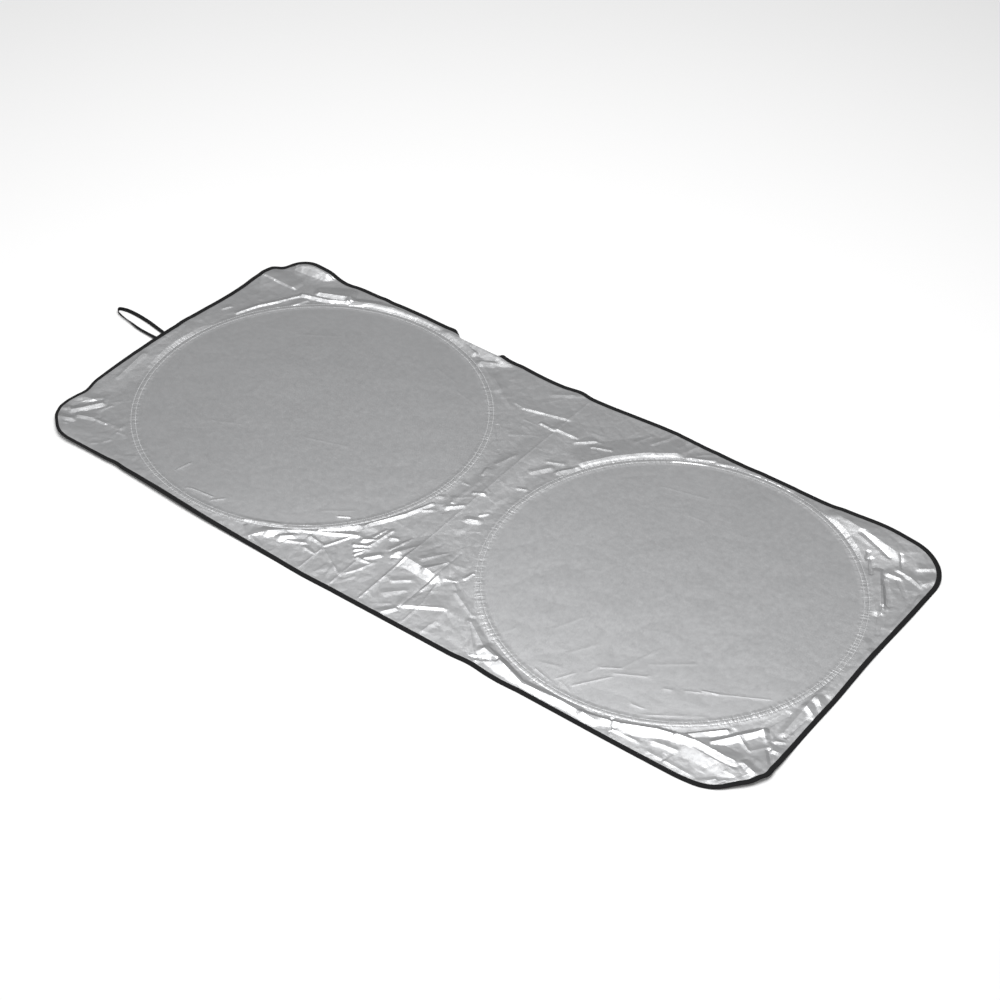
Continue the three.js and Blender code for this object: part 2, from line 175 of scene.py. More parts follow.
# Share of its width that the tape loses on top where it is folded round least, and how far that reaches
TAPE_SHORT = 0.36
TAPE_SHORT_REACH = 260


class Plan:
    """Sizes in millimetres, and places measured from a corner, a long edge's middle or a hoop."""

    def __init__(self, sizes, lay):
        self.radius = sizes.hoop_radius / MM
        self.seam = sizes.seam_half / MM
        whole_half = sizes.waist / 2 + 2 * sizes.hoop_radius
        self.ends = {-1: (whole_half + sizes.left_margin) / MM, 1: (whole_half + sizes.right_margin) / MM}
        self.half_width = (sizes.hoop_radius + sizes.side_margin) / MM
        self.corner_radius = sizes.corner_radius / MM
        self.waist = sizes.waist / MM
        self.near_bulge = sizes.near_bulge / MM
        self.tape = sizes.tape / MM
        self.fabric = sizes.fabric / MM
        self.binding_width = sizes.binding_width / MM
        self.leg = self.binding_width + BINDING_INSET
        self.rest = self.tape + CLEARANCE
        self.fold_rise = lay.fold_rise / MM
        self.lift = lay.lift / MM
        self.strap_reach = sizes.strap_reach / MM
        hoop_x = self.waist / 2 + self.radius
        self.hoops = {-1: (-hoop_x, LEFT_HOOP_OFFSET), 1: (hoop_x, RIGHT_HOOP_OFFSET)}

    def corner(self, sx, sy, dx, dy):
        return (sx * (self.ends[sx] - dx), sy * (self.half_width - dy))

    def middle(self, x, sy, dy):
        return (x, sy * (self.half_width - dy))

    def rim(self, side, degrees, out):
        x, y = self.hoops[side]
        a = math.radians(degrees)
        r = self.radius + out
        return (x + r * math.cos(a), y + r * math.sin(a))

    def turn(self, x, y):
        """Angle of points round the hoop on their side of the middle."""
        hx, hy = (np.where(x > 0, self.hoops[1][i], self.hoops[-1][i]) for i in (0, 1))
        return np.arctan2(y - hy, x - hx)

    def outside(self, x, y):
        """Distance outside the middle of the nearer hoop; negative inside a disc."""
        away = [np.hypot(x - hx, y - hy) for hx, hy in self.hoops.values()]
        return np.minimum(*away) - self.radius


# How the cloth lies: folds, creases, swells and pulls

# A fold's crest runs from start to end. Its steep side is on the right of that way, its gentle one on the
# left, each as wide as given. taper is the share of its size that it keeps at its end.
Fold = namedtuple("Fold", "start end height steep gentle taper", defaults=[1.0])
Swell = namedtuple("Swell", "at reach_x reach_y height")
Pull = namedtuple("Pull", "at reach depth")

# Slope of a crease's steep side by its tone: whitest, white, bright, middling, light grey, faint and dull
TONES = {"W": 0.26, "w": 0.2, "b": 0.155, "m": 0.12, "l": 0.09, "f": 0.06, "d": 0.035}

# How far left and back a point looks for each millimetre of height, and the cloth's own height there
SEEN_LEFT = 0.69
SEEN_BACK = 0.95
GROUND = 0.9

# Creases rise over these distances beyond a seam, and none lies deeper than this in the ground cloth
FINE_EASE = 3.5
CRUMPLE_EASE = 6
DEEPEST = -0.25


def fold_round(plan, side, start, end, out, height, steep, gentle):
    """A fold that follows a hoop from one angle to another, a little outside it."""
    steps = max(2, round(abs(end - start) / 9))
    points = [plan.rim(side, start + (end - start) * i / steps, out) for i in range(steps + 1)]
    return [Fold(a, b, height, steep, gentle) for a, b in zip(points, points[1:])]


def seen_crease(x0, y0, x1, y1, width, tone, gentle, taper=1.0):
    """A crease from the ends, the width and the tone of its steep side, as they look from the front.

    A raised crest looks farther back than it is, so its ends are moved forward by its height. Places and
    widths are rounded to a tenth of a millimetre.
    """
    steep = width / (1 + TONES[tone])
    height = TONES[tone] * steep
    ends = []
    for x, y, z in ((x0, y0, height), (x1, y1, height * taper)):
        ends.append((round(x + SEEN_LEFT * (z + GROUND), 1), round(y - SEEN_BACK * (z + GROUND), 1)))
    return Fold(*ends, float(f"{height:.2g}"), round(steep, 1), round(gentle, 1), round(taper, 1))


def main_folds(plan):
    corner, middle, right_end = plan.corner, plan.middle, plan.ends[1]
    return [
        # far left corner
        Fold(corner(-1, 1, 7, 74), corner(-1, 1, 78, 72), 2, 2.8, 34),
        # round the left hoop: far side, outer side and the near side of the waist
        *fold_round(plan, -1, 118, 68, 16, 2.9, 14, 12),
        *fold_round(plan, -1, 66, 48, 13, 0.6, 10, 12),
        *fold_round(plan, -1, 158, 134, 19, 0.3, 6, 20),
        *fold_round(plan, -1, -66, -32, 18, 0.7, 14, 16),
        # the ridge that hides the far binding
        Fold((-290, 288), (-180, 287), 4.4, 23, 50, 0.85),
        # far side of the waist
        Fold(middle(-76, 1, 96), middle(-5, 1, 77), 0.9, 4.5, 26),
        Fold(middle(-94, 1, 94), middle(-76, 1, 96), 0.6, 4, 20),
        Fold(middle(-6, 1, 108), middle(34, 1, 106), 1, 5, 22),
        Fold(middle(38, 1, 116), middle(58, 1, 97), 0.9, 5, 12),
        # middle of the waist
        Fold((-27, -60), (-20, 95), 0.5, 8, 16),
        Fold((22, -90), (28, 5), 0.5, 8, 16),
        # near side of the waist
        Fold(middle(-2, -1, 117), middle(50, -1, 113), 3.2, 17, 50),
        Fold(middle(-24, -1, 122), middle(-2, -1, 117), 1.3, 12, 34, 1.8),
        Fold(middle(56, -1, 36), middle(106, -1, 66), 1.1, 5.5, 28),
        # round the right hoop: far side of the waist and near side
        *fold_round(plan, 1, 151, 122, 17, 2.7, 15, 40),
        *fold_round(plan, 1, 120, 84, 9, 0.9, 5, 14),
        *fold_round(plan, 1, -116, -90, 17, 1.2, 9, 14),
        # near right corner
        seen_crease(380, -283, 436, -266, 13, "b", 8),
        seen_crease(436, -265, 476, -246, 20, "b", 8),
        seen_crease(476, -246, 530, -231, 15, "w", 7),
        seen_crease(530, -231, 592, -232, 13, "w", 18),
        seen_crease(549, -220, 592, -160, 13, "w", 8, 0.9),
        # right end and far right corner
        Fold((right_end - 27, -150), (right_end - 31, 70), 1.5, 18, 9),
        Fold(corner(1, 1, 41, 162), corner(1, 1, 83, 90), 2.2, 7, 26),
        # near left corner
        Fold(corner(-1, -1, 7, 100), corner(-1, -1, 45, 110), 1.5, 12, 16),
        Fold(corner(-1, -1, 25, 66), corner(-1, -1, 50, 108), 1.8, 9, 10),
        Fold(corner(-1, -1, 43, 62), corner(-1, -1, 66, 72), 1.4, 7, 14),
    ]


def creases(rows):
    """Folds from rows: start x and y, end x and y, height, steep width, gentle width and maybe a taper.

    A row with a tone in its sixth place is for seen_crease.
    """
    return [
        seen_crease(*row) if isinstance(row[5], str) else Fold(row[:2], row[2:4], *row[4:])
        for row in rows
    ]


def fine_creases():
    """Sharp small creases in the loose cloth, a height below zero being a valley."""
    return creases([
        # near side of the waist, from the left hoop to the middle line
        (-142, -216, -102, -172, 2.1, 10, 12, 0.8), (-183, -248, -142, -214, 1.3, 7, 16),
        (-200, -264, -183, -248, 2.2, 13, 16, 0.8), (-216, -288, -200, -264, 0.8, 4, 10, 1.2),
        (-160, -231, -90, -190, 1.1, 5, 7, 1.2), (-142, -234, -114, -237, 0.8, 5, 5, 0.9),
        (-115, -238, -93, -192, 0.8, 4, 6, 0.8), (-178, -262, -165, -250, 1.8, 11, 10, 0.8),
        (-165, -262, -140, -249, 0.9, 5, 10, 0.7), (-137, -257, -116, -259, 0.7, 4, 6, 0.9),
        (-234, -275, -213, -292, 0.9, 4, 6, 0.8), (-211, -288, -185, -298, 0.8, 4, 6, 0.8),
        (-104, -160, -99, -149, 1.6, 8, 8, 0.8), (-95, -165, -88, -148, 1.0, 6, 8, 0.6),
        (-94, -156, -67, -109, 8, "w", 5), (-67, -109, -49, -63, 8, "w", 5, 0.8),
        (-110, -243, -60, -270, 0.7, 3.5, 8, 0.8), (-92, -187, -75, -190, 0.8, 4, 8, 0.9),
        (-78, -192, -60, -179, 1.5, 7, 9, 0.8), (-62, -196, -56, -150, 1.2, 5, 9, 0.7),
        (-69, -178, -64, -154, 0.8, 3.5, 6, 0.7), (-82, -209, -64, -199, 1.0, 5, 6, 0.8),
        (-74, -217, -60, -204, 1.0, 4, 5, 0.8), (-67, -224, -59, -206, 0.9, 4, 5, 0.7),
        (-51, -222, -37, -203, 1.3, 7, 9, 0.8), (-59, -227, -40, -226, 1.0, 6, 7, 0.8),
        (-43, -246, -34, -220, 0.54, 4, 9, 0.8), (-53, -264, -43, -246, 0.42, 3, 7, 1.1),
        (-48, -164, -40, -160, 1.0, 6, 6, 0.9), (-32, -186, -22, -148, 0.9, 5, 8, 0.4),
        (-22, -188, -6, -156, 1.6, 11, 14, 0.2), (-20, -196, -6, -190, -0.8, 3, 5, 0.7),
        # near side of the waist, from the middle line to the right hoop
        (36, -188, 51, -158, 1.6, 10, 9, 0.2), (57, -226, 58, -190, 0.6, 3.5, 6),
        (59, -187, 70, -199, 0.5, 4, 6, 0.8), (66, -200, 73, -240, 0.4, 3, 6, 0.6),
        (70, -186, 86, -180, 0.5, 4, 6, 0.9), (86, -186, 100, -196, 0.5, 4, 6, 0.9),
        (100, -199, 148, -224, 0.7, 5, 12, 0.9), (92, -168, 95, -152, 0.8, 4, 6, 0.8),
        (12, -235, 33, -217, 0.54, 5, 10, 0.9), (18, -262, 38, -240, 0.63, 9, 10, 0.6),
        (18, -174, 38, -140, 0.8, 7, 9, 0.4), (38, -298, 51, -278, 1.1, 8, 10, 0.8),
        (110, -296, 111, -236, 0.48, 8, 9), (111, -235, 150, -236, 0.3, 6, 20),
        (153.7, -234.3, 199.9, -264.6, 1.1, 12.5, 9, 1.2), (150, -235, 205, -292, 1, 8, 11, 0.9),
        (228, -273, 182, -299, -2, 4, 5), (201.2, -266.3, 243.2, -276.3, 2.7, 18.3, 9),
        (242.9, -276, 284.2, -290.1, 2.4, 16.7, 9, 0.7),
        (285.2, -290.1, 347.4, -284.3, 1.7, 11.7, 9, 1.1), (347.3, -284.2, 402.3, -286.2, 1.8, 12.5, 9),
        (420, -270, 430, -294, -1.1, 4, 4, 0.9),
        # near right corner
        (504, -240, 553, -190, 10, "w", 4), (604, -229, 630, -239, 9, "w", 10),
        (592, -160, 604, -172, 8, "w", 9, 0.7), (531.5, -247, 601.5, -249, 1.2, 20.8, 16),
        (548, -246, 562, -232, 5, "b", 6), (584, -247, 606, -240, 7, "b", 6, 0.7),
        (574, -192, 598, -206, 0.8, 5, 6, 0.8), (486, -268, 520, -262, 9, "l", 8, 0.8),
        (560, -246, 570, -262, 4, "m", 6), (490, -288, 560, -289, 8, "f", 6),
        (430, -283, 470, -281, 6, "m", 6, 0.8), (600, -205, 618, -180, 5, "l", 8, 0.8),
        (612, -262, 622, -240, 4, "l", 6), (572, -295, 590, -275, 4, "w", 7, 0.8),
        (596, -292, 618, -262, 7, "w", 8, 0.8), (580, -290, 610, -262, 5, "m", 8, 0.8),
        (518, -272, 515, -294, -0.9, 4, 4, 0.8), (620, -190, 636, -212, -1.4, 5, 6, 0.8),
        (618, -170, 630, -164, 0.9, 5, 10, 0.8), (624, -188, 636, -186, 1.1, 6, 12, 0.9),
        # right end
        (604, -115, 590, -160, -1.4, 5, 6, 0.8), (630, -108, 625, -155, -1, 4, 5, 0.8),
        (618, -88, 636, -98, 1.2, 8, 13, 0.9), (622, -66, 638, -80, 1.3, 9, 14, 0.9),
        (634, 60, 632, -50, 1.2, 8, 13, 0.9),
        # far right corner
        (452, 283, 560, 262, 2.6, 24, 29, 0.6), (498, 270, 556, 249, -1.6, 7, 7, 0.8),
        (462, 281, 490, 285, 1, 5, 11, 0.9), (492, 276, 512, 287, 1.2, 6, 13, 0.8),
        (526, 240, 531, 226, -1.3, 4, 5, 0.9), (536, 230, 552, 202, -1.5, 5, 6, 0.9),
        (568, 262, 582, 240, -1, 4, 5, 0.7), (580, 232, 600, 230, 1.3, 7, 14, 0.9),
        (600, 231, 624, 222, 1.1, 6, 12, 0.8), (572, 217, 590, 219, 1.4, 7, 15, 0.8),
        (590, 214, 618, 188, -1, 4, 6, 0.8), (576, 200, 606, 158, -1.3, 6, 7, 0.9),
        (580, 188, 604, 148, 1.1, 5, 12, 0.9), (600, 150, 622, 98, -1.2, 5, 7, 0.9),
        (624, 228, 636, 246, 1.8, 8, 20, 0.9), (604, 254, 624, 270, 1.2, 6, 13, 0.8),
        (626, 200, 634, 175, -1.2, 5, 5, 0.9), (634, 200, 637, 120, 1, 7, 11, 0.8),
        # round the right hoop's far side
        (196, 262, 234, 281, 4, "b", 8), (240, 276, 272, 297, 8, "l", 8, 0.7),
        (110, 244, 122, 272, 6, "l", 7), (134, 256, 146, 282, 6, "b", 8),
        (146, 282, 150, 298, 7, "m", 8), (172, 272, 176, 298, 5, "l", 6),
        (185, 270, 193, 298, 5, "m", 6), (204, 276, 228, 298, 6, "m", 7), (56, 112, 74, 138, 10, "b", 6),
        # middle and far side of the waist
        (-28, 70, -17, 104, 6, "m", 8, 0.8), (-33, 50, -30, 36, 0.8, 4, 9, 0.8),
        (-15, -7, 0, 1, 6, "b", 6, 1.1), (-43, 3, -31, 4, 3.5, "m", 5),
        (-32, -36, -26, -44, 0.9, 5, 10, 0.9), (-27, -56, -9, -39, 9, "b", 7, 0.8),
        (-58, -47, -45, -41, 7, "l", 6), (24, -42, 32, -31, 4.5, "b", 5), (14, -60, 30, -52, 10, "m", 8),
        (31, 43, 43, 49, 5, "b", 6), (25, 88, 42, 114, 9, "m", 8, 1.1), (29, 122, 52, 133, 6, "m", 6),
        (-84, 145, -40, 94, -0.9, 4, 5, 0.8), (-50, -84, -38, -74, 5, "m", 6),
        (-34, 193, -6, 191, 5, "W", 6), (-204, 262, -187, 271, 14, "b", 6),
        (60, 208, 72, 210, 4, "m", 6, 0.8), (64, 193, 92, 203, 5, "w", 8),
        (-160, 240, -96, 196, 0.6, 8, 14, 0.8), (-60, 262, -18, 292, 0.7, 8, 12, 0.8),
        # far left corner and the left hoop's far side
        (-606, 296, -552, 297, 6, 26, 5, 0.8), (-531, 245, -480, 266, 2.6, 8.5, 20, 1.5),
        (-550.3, 223.7, -503.3, 238.7, 2.7, 7.5, 8), (-503.3, 238.7, -477.3, 254.7, 2.7, 7.5, 6),
        (-601.7, 118.2, -588.7, 153.2, 1.3, 4, 8), (-588.7, 153.2, -573.7, 178.2, 1.3, 4, 8),
        (-573.7, 178.2, -551.7, 218.2, 1.3, 4, 8), (-552, 281, -534, 293, 4, "m", 6),
        (-470, 252, -452, 264, 5, "b", 6), (-541, 194, -533, 217, 1.2, 5, 13, 0.9),
        (-628, 114, -622, 126, 0.9, 4, 10, 0.9), (-646, 226, -598, 172, 0.6, 6, 8, 0.7),
        # left end and near left corner
        (-612, -188, -640, -226, -1, 5, 6, 0.8), (-596, -205, -590, -188, 4.5, "m", 6),
        (-650, -242, -638, -233, 8, "W", 9), (-582, -229.4, -565, -228.4, 0.9, 3.9, 6),
        (-563, -223, -539, -222, 6, "m", 12), (-536, -231, -525, -230, 4, "m", 6),
        (-636, -262, -614, -250, 10, "w", 10), (-624, -271, -612, -265, 4, "b", 6),
        (-553, -282, -542, -271, 3.5, "m", 6), (-537, -264, -531, -252, 4, "l", 6),
        (-654, 40, -648, -40, 0.8, 6, 10, 0.7), (-644, -60, -634, -130, 0.7, 6, 10, 0.8),
    ])


def taut_creases():
    """Faint creases in the discs and over the sleeves."""
    return creases([
        (372, -194, 411, -172, 3.4, "f", 3.4), (405, -147, 450, -111, 3, "d", 3),
        (442, -240, 492, -205, 3, "f", 3), (492, -205, 545, -178, 3, "d", 3),
        (470, -216, 522, -186, 3, "d", 3), (470, -162, 570, -106, 3, "f", 3),
        (488, -148, 508, -140, 4, "l", 3), (444, -176, 452, -173, 4, "f", 3),
        (426, -228, 440, -226, 3.5, "f", 3), (350, -196, 374, -180, 3.4, "f", 3),
        (372, -184, 394, -122, 3, "d", 3), (298, -200, 320, -163, 3, "d", 3),
        (340, -248, 372, -203, 3.6, "f", 3), (278, -238, 302, -230, 3, "d", 3),
        (315, -250, 328, -228, 3, "f", 3), (280, -253, 322, -263, 4, "f", 3),
        (322, -252, 340, -258, 3, "d", 3), (343, -213, 350, -188, 3, "d", 3),
        (246, -248, 248, -228, 3, "d", 3), (204, -218, 210, -204, 3, "d", 3),
        (255, -168, 272, -132, 3, "d", 3), (205, 182, 240, 191, 3, "d", 3),
        (240, 191, 272, 199, 3, "d", 3), (272, 150, 296, 152, 3, "d", 3),
        (-362, -266, -355, -261, 3.5, "f", 3), (-355, -261, -318, -256, 4, "m", 3),
        (-312, -262, -302, -250, 4, "l", 3), (-402, -240, -397, -217, 4, "l", 3),
        (-390, -190, -378, -198, 3, "f", 3), (-168, -178, -130, -148, 3, "d", 3),
        (-140, -172, -128, -164, 4, "b", 3), (-480, 140, -455, 156, 3.5, "d", 3),
        (-460, 152, -425, 176, 3, "d", 3), (-250, 205, -200, 192, 3, "d", 3),
        (-185, 176, -140, 166, 3, "d", 3), (-448, -120, -402, -98, 3, "d", 3),
        (-300, -60, -236, -38, 3, "d", 3), (-246, -264, -196, -239, 5, "b", 4),
        (-170, -220, -150, -206, 4, "f", 4), (-480, -232, -455, -240, 3.5, "f", 3),
    ])


def memory_lines():
    """Straight lines that the shade keeps from being folded flat in its packet, as faint low ridges."""
    return [Fold((x, y0), (x, y1), height, 3, 3) for x, y0, y1, height in [
        (-4, -298, -150, 0.45),
        (-4, -150, 100, 0.22),
        (-4, 100, 290, 0.3),
        (-114, -296, -236, 0.3),
        (-57, -296, -150, 0.3),
        (54, -275, -128, -0.35),
        (75, -298, -240, 0.25),
        (112, -298, -236, 0.35),
        (248, -262, -222, 0.12),
    ]]


def swells(plan):
    corner = plan.corner
    return [
        Swell(corner(-1, 1, 75, 2), 80, 44, 3),
        Swell(corner(-1, 1, 19, 60), 60, 60, 3),
        Swell(corner(-1, 1, 5, 330), 60, 200, 4),
        Swell(corner(-1, 1, 245, 6), 120, 40, 1.5),
        Swell(corner(1, 1, 120, 2), 120, 100, 7),
        Swell(corner(1, -1, 5, 60), 70, 100, 5),
        Swell(corner(-1, -1, 35, 20), 90, 60, 3),
        Swell((0, 60), 40, 200, 2),
    ]


def pulls(plan):
    """Stretches of the bound edge that are drawn in, or let out where the depth is below zero."""
    corner, middle = plan.corner, plan.middle
    return [Pull(*row) for row in [
        (middle(-85, 1, 0), 150, 10), (middle(-227, 1, 0), 72, 3.5),
        (corner(-1, 1, 28, 26), 52, 5), (corner(-1, 1, 0, 400), 240, -4),
        (corner(-1, -1, 130, 0), 250, 9), (corner(-1, 1, 0, 120), 130, 6),
        (corner(1, -1, 20, 20), 90, 8), (middle(-20, -1, 0), 420, -plan.near_bulge),
        (middle(420, -1, 0), 420, -plan.near_bulge),
        # small dents and kinks
        (middle(-485, -1, 0), 22, 1.6), (middle(-100, -1, 0), 60, -1.2),
        (middle(200, -1, 0), 34, 2.2), (middle(255, -1, 0), 40, -1.4),
        (middle(-30, 1, 0), 30, -3.5), (middle(32, 1, 0), 90, 5),
        (middle(150, 1, 0), 60, -2), (middle(275, 1, 0), 40, 1.5),
        (middle(520, 1, 0), 60, -2.2), (middle(-512, 1, 0), 34, 3.5),
        (middle(-172, 1, 0), 34, 4.5), (middle(-430, 1, 0), 16, -1.2),
        (corner(1, 1, 0, 250), 120, 1.8), (corner(1, -1, 0, 160), 110, 1.5),
        (corner(-1, 1, 0, 254), 22, -1.4), (corner(-1, -1, 0, 114), 34, 5),
        (corner(-1, -1, 0, 78), 30, -1.5), (corner(-1, -1, 27, 27), 34, 2.5),
        (corner(-1, 1, 0, 62), 40, 5), (corner(-1, 1, 19, 31), 24, 8),
        (corner(1, -1, 3, 72), 18, -2.2), (corner(1, -1, 28, 32), 30, 2),
    ]]


def full_turn(count):
    return np.arange(count) / count * 2 * math.pi


def clamp(v):
    return np.clip(v, 0.0, 1.0)


def smooth(v):
    t = clamp(v)
    return t * t * (3 - 2 * t)


def tent(fold, x, y):
    """Height of one fold over points, linear on both sides of its crest."""
    (ax, ay), (bx, by) = fold.start, fold.end
    dx, dy = bx - ax, by - ay
    length = math.hypot(dx, dy)
    along = ((x - ax) * dx + (y - ay) * dy) / length
    left = ((y - ay) * dx - (x - ax) * dy) / length
    size = 1 + (fold.taper - 1) * clamp(along / length)
    side = np.where(left > 0, fold.gentle, fold.steep) * np.maximum(size, 0.02)
    beyond = np.maximum(0, np.maximum(-along, along - length)) / (0.6 * fold.steep + 0.25 * fold.gentle)
    return fold.height * size * np.maximum(0, 1 - np.hypot(left / side, beyond))


def highest(folds, x, y):
    """The highest of several folds at each point, and the deepest of several valleys, added up."""
    ridge = np.zeros_like(x)
    valley = np.zeros_like(x)
    for fold in folds:
        reach = max(fold.steep, fold.gentle) * max(1, fold.taper)
        (ax, ay), (bx, by) = fold.start, fold.end
        near = (
            (x > min(ax, bx) - reach) & (x < max(ax, bx) + reach)
            & (y > min(ay, by) - reach) & (y < max(ay, by) + reach)
        )
        height = tent(fold, x[near], y[near])
        if fold.height > 0:
            ridge[near] = np.maximum(ridge[near], height)
        else:
            valley[near] = np.minimum(valley[near], height)
    return ridge + valley


def crumple(plan, seed, count=300):
    """Small creases scattered over the loose cloth, mostly radiating from the hoops."""
    rng = np.random.default_rng(seed)
    found = []
    while len(found) < count:
        x = rng.uniform(-plan.ends[-1], plan.ends[1])
        y = rng.uniform(-plan.half_width, plan.half_width)
        length = rng.uniform(9, 42)
        turn = rng.normal(0, 0.75)
        height = rng.uniform(0.12, 0.5)
        steep = rng.uniform(2.5, 5)
        gentle = rng.uniform(6, 14)
        taper = rng.uniform(0.05, 0.7)
        out = float(plan.outside(np.array(x), np.array(y)))
        if out < plan.seam + 3:
            continue
        side = 1 if x > 0 else -1
        hx, hy = plan.hoops[side]
        angle = math.atan2(y - hy, x - hx) + turn
        end = (x + length * math.cos(angle), y + length * math.sin(angle))
        found.append(Fold((x, y), end, height, steep, gentle, taper))
    return found


class Cloth:
    """Height of the underside of the sheet over its plan, in millimetres."""

    def __init__(self, plan, lay):
        self.plan = plan
        self.main = main_folds(plan)
        self.fine = fine_creases() + memory_lines()
        self.taut = taut_creases()
        self.small = crumple(plan, lay.seed)
        self.crumple = lay.crumple
        self.swells = swells(plan)
        self.disc_wave = lay.disc_wave / MM
        self.gather = lay.gather / MM

    def lift(self, x, y):
        plan = self.plan
        across = clamp(-y / plan.half_width)
        return plan.lift * across ** 2 * smooth((-x - plan.waist) / plan.radius)

    def loose(self, x, y):
        plan = self.plan
        out = plan.outside(x, y) - plan.seam
        rise = clamp(out / plan.fold_rise)
        soft = sum(
            s.height * smooth(1 - np.hypot((x - s.at[0]) / s.reach_x, (y - s.at[1]) / s.reach_y))
            for s in self.swells
        )
        folds = highest(self.main, x, y)
        fine = highest(self.fine, x, y) * clamp(out / FINE_EASE)
        small = highest(self.small, x, y) * self.crumple * clamp(out / CRUMPLE_EASE)
        height = rise * (folds + soft) + fine + small
        sleeve = np.interp(out + plan.seam, SLEEVE_STEPS, SLEEVE_RISE["outside"])
        return plan.rest + self.lift(x, y) + sleeve + np.maximum(height, DEEPEST)

    def channel(self, x, y):
        """Over a hoop: a low flat-topped sleeve, higher over the ferrule, with puckers at the stitches."""
        plan = self.plan
        out = plan.outside(x, y)
        angle = plan.turn(x, y)
        joint = np.radians(np.where(x > 0, FERRULE_ANGLES[1], FERRULE_ANGLES[-1]))
        away = np.abs(np.arctan2(np.sin(angle - joint), np.cos(angle - joint))) * plan.radius
        across = np.interp(np.abs(out), SLEEVE_STEPS, SLEEVE_RISE["inside"])
        over = smooth(1 - (away - FERRULE_HALF_LENGTH - 4) / 14) * clamp(1 - (np.abs(out) - 1.3) / 2.2)
        pucker = self.puckers(angle * plan.radius) * clamp(1 - np.abs(np.abs(out) - plan.seam) / 2)
        crease = highest(self.taut, x, y)
        return plan.rest + self.lift(x, y) + across + FERRULE_RISE * over + pucker + crease

    def puckers(self, arc):
        wave = np.sin(arc / 1.35) + 0.7 * np.sin(arc / 2.1 + 1.3) + 0.5 * np.sin(arc / 3.7 + 0.4)
        return self.gather * wave

    def disc(self, x, y):
        """Inside a hoop: taut, with slow waves and puckers that die away from the seam."""
        plan = self.plan
        inside = -plan.outside(x, y) - plan.seam
        angle = plan.turn(x, y)
        slow = (
            np.sin(x / 31 + y / 57 + 0.6) * np.sin(y / 43 - x / 91)
            + 0.6 * np.sin(x / 17 - y / 23 + 1.9) * np.sin(x / 67 + 0.5)
        )
        waves = self.disc_wave * slow * smooth(inside / 40)
        pucker = self.puckers(angle * plan.radius) * smooth(1 - inside / 9) * smooth(inside / 2.5)
        sleeve = np.interp(inside + plan.seam, SLEEVE_STEPS, SLEEVE_RISE["inside"])
        return plan.rest + self.lift(x, y) + sleeve + waves + pucker + highest(self.taut, x, y)

    def height(self, x, y):
        plan = self.plan
        out = plan.outside(x, y)
        z = self.disc(x, y)
        over = np.abs(out) < plan.seam
        z[over] = self.channel(x[over], y[over])
        beyond = out >= plan.seam
        z[beyond] = self.loose(x[beyond], y[beyond])
        return z


# The bound edge

class Edge:
    """The cut edge as a closed line of stations, anticlockwise from the near edge's middle."""

    def __init__(self, plan, cloth, spacing=2.6):
        self.plan = plan
        right = self.half(1, spacing)
        left = self.half(-1, spacing)
        line = np.array(right + left[-2:0:-1])
        self.normal = line[:, 2:4]
        self.at = line[:, 0:2]
        self.count = len(line)
        inside = self.inward(plan.leg)
        raw = cloth.loose(inside[:, 0], inside[:, 1])
        self.z = np.maximum(blur_round(raw, 3), plan.tape + CLEARANCE + 0.1)
        steps = np.hypot(*(np.roll(self.at, -1, axis=0) - self.at).T)
        self.arc = np.concatenate([[0], np.cumsum(steps)[:-1]])
        self.length = steps.sum()

    def half(self, side, spacing):
        plan = self.plan
        end_x = plan.ends[side]
        flat_x = end_x - plan.corner_radius
        flat_y = plan.half_width - plan.corner_radius
        dents = pulls(plan)
        stations = []

        def add(x, y, nx, ny):
            depth = plan.tape + CLEARANCE
            for p in dents:
                away = math.hypot(side * x - p.at[0], y - p.at[1]) / p.reach
                depth += p.depth * float(smooth(1 - away))
            stations.append((side * (x - nx * depth), y - ny * depth, side * nx, ny))

        def turn(cy, t):
            a = (t + (-1 if cy < 0 else 0)) * math.pi / 2
            nx, ny = math.cos(a), math.sin(a)
            add(flat_x + plan.corner_radius * nx, cy + plan.corner_radius * ny, nx, ny)

        quarter = math.pi / 2 * plan.corner_radius
        runs = [
            (flat_x, lambda t: add(flat_x * t, -plan.half_width, 0, -1)),
            (quarter, lambda t: turn(-flat_y, t)),
            (2 * flat_y, lambda t: add(end_x, flat_y * (2 * t - 1), 1, 0)),
            (quarter, lambda t: turn(flat_y, t)),
            (flat_x, lambda t: add(flat_x * (1 - t), plan.half_width, 0, 1)),
        ]
        for length, place in runs:
            steps = round(length / spacing)
            for i in range(steps):
                place(i / steps)
        add(0, plan.half_width, 0, 1)
        return stations

    def inward(self, depth):
        return self.at - self.normal * depth

    def tape_share(self):
        """How much of the tape shows on top: it is folded round unevenly, least at the near left corner."""
        least = self.plan.corner(-1, -1, 0, 20)
        away = np.hypot(self.at[:, :1] - least[0], self.at[:, 1:] - least[1])
        return 1 - TAPE_SHORT * smooth(1.15 - away / TAPE_SHORT_REACH)

    def nearest(self, x, y):
        """The nearest station to each point."""
        index = np.empty(len(x), int)
        for first in range(0, len(x), 4000):
            part = slice(first, first + 4000)
            gap = np.hypot(x[part, None] - self.at[None, :, 0], y[part, None] - self.at[None, :, 1])
            index[part] = gap.argmin(axis=1)
        return index


def blur_round(values, passes):
    for _ in range(passes):
        values = 0.5 * values + 0.25 * (np.roll(values, 1) + np.roll(values, -1))
    return values


# Mesh making

